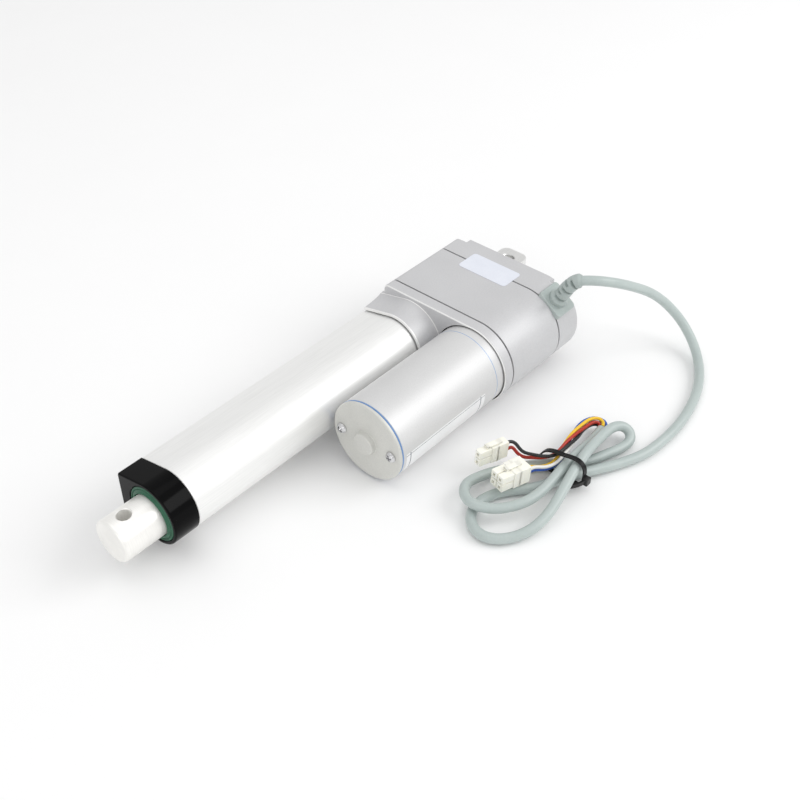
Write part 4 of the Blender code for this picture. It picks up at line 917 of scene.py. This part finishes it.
loop = closed_curve(TIE_LOOP, 6)
count = len(loop)
normals = []
for i in range(count):
    along = (loop[(i + 1) % count] - loop[i - 1]).normalized()
    normals.append(Vector((-along.y, along.x)))
rings = []
for i in range(count):
    rise = 0.08 if i % 2 else 0.0
    ring_at = []
    for x, out in ((TIE_HALF, 0.12), (TIE_HALF, TIE_THICK - 0.2), (TIE_HALF - 0.2, TIE_THICK), (0.75, TIE_THICK), (0.6, TIE_THICK - 0.12 + rise), (-0.6, TIE_THICK - 0.12 + rise), (-0.75, TIE_THICK),
                   (-TIE_HALF + 0.2, TIE_THICK), (-TIE_HALF, TIE_THICK - 0.2), (-TIE_HALF, 0.12)):
        p = loop[i] + normals[i] * out
        ring_at.append((TIE_X + x, p.x, p.y))
    rings.append(ring_at)
bm = loft_bm(rings, closed=True)
head_box = box_mesh((TIE_X - 1.7, 95.5, 3.6), (TIE_X + 1.7, 98.5, 7.4), 0.45, 3)
bm.from_mesh(head_box)
tail_points = spline([(-32.6, 97.0, 6.0), (-29.4, 96.2, 6.0), (-26.4, 94.6, 6.0), (-23.6, 92.6, 6.0)], 0.8)
sections = []
for i, at in enumerate(tail_points):
    ahead = (tail_points[min(i + 1, len(tail_points) - 1)] - tail_points[max(i - 1, 0)]).normalized()
    side = Vector((-ahead.y, ahead.x, 0))
    half = 0.5 + (0.06 if i % 2 else 0.0)
    sections.append([tuple(at + side * s * half + Vector((0, 0, h))) for s, h in ((1, 1.0), (0.7, 1.1), (-0.7, 1.1), (-1, 1.0), (-1, -1.0), (-0.7, -1.1), (0.7, -1.1), (1, -1.0))])
add_loft(bm, sections)
tie = place("tie_band", mesh_of("tie_band", bm), "black", "body", ("cable_tie",), "black_plastic", sharp=35)


# ------------------------------------------------------------------ rides, hidden CAD stand-ins and CAD nodes' finishes
for obj, body, stands_for, slot in pieces:
    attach(obj, body)
    if stands_for:
        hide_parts(*stands_for)

INNER = {
    "guide_bush": "nylon", "drive_nut": "nylon", "nut_collar": "black", "lead_screw": "steel", "screw_gear": "nylon", "magnet_ring": "ferrite",
    "bearing_inner_ring": "steel", "bearing_outer_ring": "steel", "bearing_ball_cage": "bronze", "idler_gear": "nylon", "gear_shaft": "steel",
    "magnet_upper": "ferrite", "magnet_lower": "ferrite", "brush_plate": "board", "brush_upper": "ferrite", "brush_lower": "ferrite",
    "motor_front_bush": "bronze", "motor_rear_bush": "bronze", "rotor_core": "laminate", "rotor_winding_front": "copper",
    "rotor_winding_rear": "copper", "commutator": "copper", "motor_pinion": "bronze", "switch_strip": "board", "limit_switch_front": "black",
    "limit_switch_rear": "black", "hall_board": "board",
    "outer_tube": "anodised", "front_cap": "cap", "wiper_seal": "green", "rod_tube": "rod", "rod_end": "rod", "front_housing": "paint",
    "gasket_front": "gasket", "gasket_rear": "gasket", "middle_housing": "paint", "rear_cover": "paint", "rear_clevis": "clevis",
    "housing_screw_1": "steel", "housing_screw_2": "steel", "housing_screw_3": "steel", "housing_screw_4": "steel", "motor_can": "motor",
    "motor_seal_ring": "bluering", "motor_end_cap": "endcap", "motor_screw_left": "steel", "motor_screw_right": "steel",
    "rotor_shaft": "steel", "seal_label": "seal_label", "motor_label": "motor_label", "cable_gland": "gland", "cable_jacket": "jacket",
    "wire_black": "w_black", "wire_red": "w_red", "wire_yellow": "w_yellow", "wire_white": "w_white", "wire_blue": "w_blue",
    "connector_sensor": "connector", "connector_motor": "connector", "cable_tie": "black",
}
for name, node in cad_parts.items():
    mat = M[INNER[name]]
    for held in node.material_slots:
        held.material = mat
    if not node.material_slots:
        node.data.materials.append(mat)


# ------------------------------------------------------------------ floor, world and lights
bm = bmesh.new()
bmesh.ops.create_grid(bm, x_segments=24, y_segments=24, size=6.0)
floor_mesh = bpy.data.meshes.new("floor")
bm.to_mesh(floor_mesh)
bm.free()
floor = bpy.data.objects.new("floor", floor_mesh)
floor.location = (0, 0, -0.0004)
scene.collection.objects.link(floor)
floor_mesh.materials.append(surface("m_floor", (0.93, 0.93, 0.93), (0.92, 0.92, 0.92), 0.85, grain=40, blotch=400, mix=0.3, bump=0.0))

world = bpy.data.worlds.new("studio")
scene.world = world
world.use_nodes = True
tree = world.node_tree
background = tree.nodes["Background"]
background.inputs["Color"].default_value = (1.0, 1.0, 1.0, 1)
background.inputs["Strength"].default_value = 0.76


def softbox(name, at, target, size, power, color=(1, 1, 1)):
    data = bpy.data.lights.new(name, "AREA")
    data.shape = "RECTANGLE"
    data.size, data.size_y = size
    data.energy = power
    data.color = color
    obj = bpy.data.objects.new(name, data)
    scene.collection.objects.link(obj)
    obj.location = at
    obj.rotation_euler = (Vector(target) - Vector(at)).to_track_quat("-Z", "Y").to_euler()
    return obj


softbox("key", (-0.75, 0.95, 0.95), (0, 0, 0), (1.1, 0.9), 8.5)
softbox("top", (0.1, -0.2, 1.4), (0, 0, 0), (1.2, 1.2), 2.6)
softbox("fill", (1.2, 0.5, 0.5), (0, 0, 0.02), (0.9, 0.9), 2.4)

scene.view_settings.view_transform = "Standard"
scene.view_settings.look = "None"
scene.view_settings.exposure = 0.0
scene.view_settings.gamma = 1.0
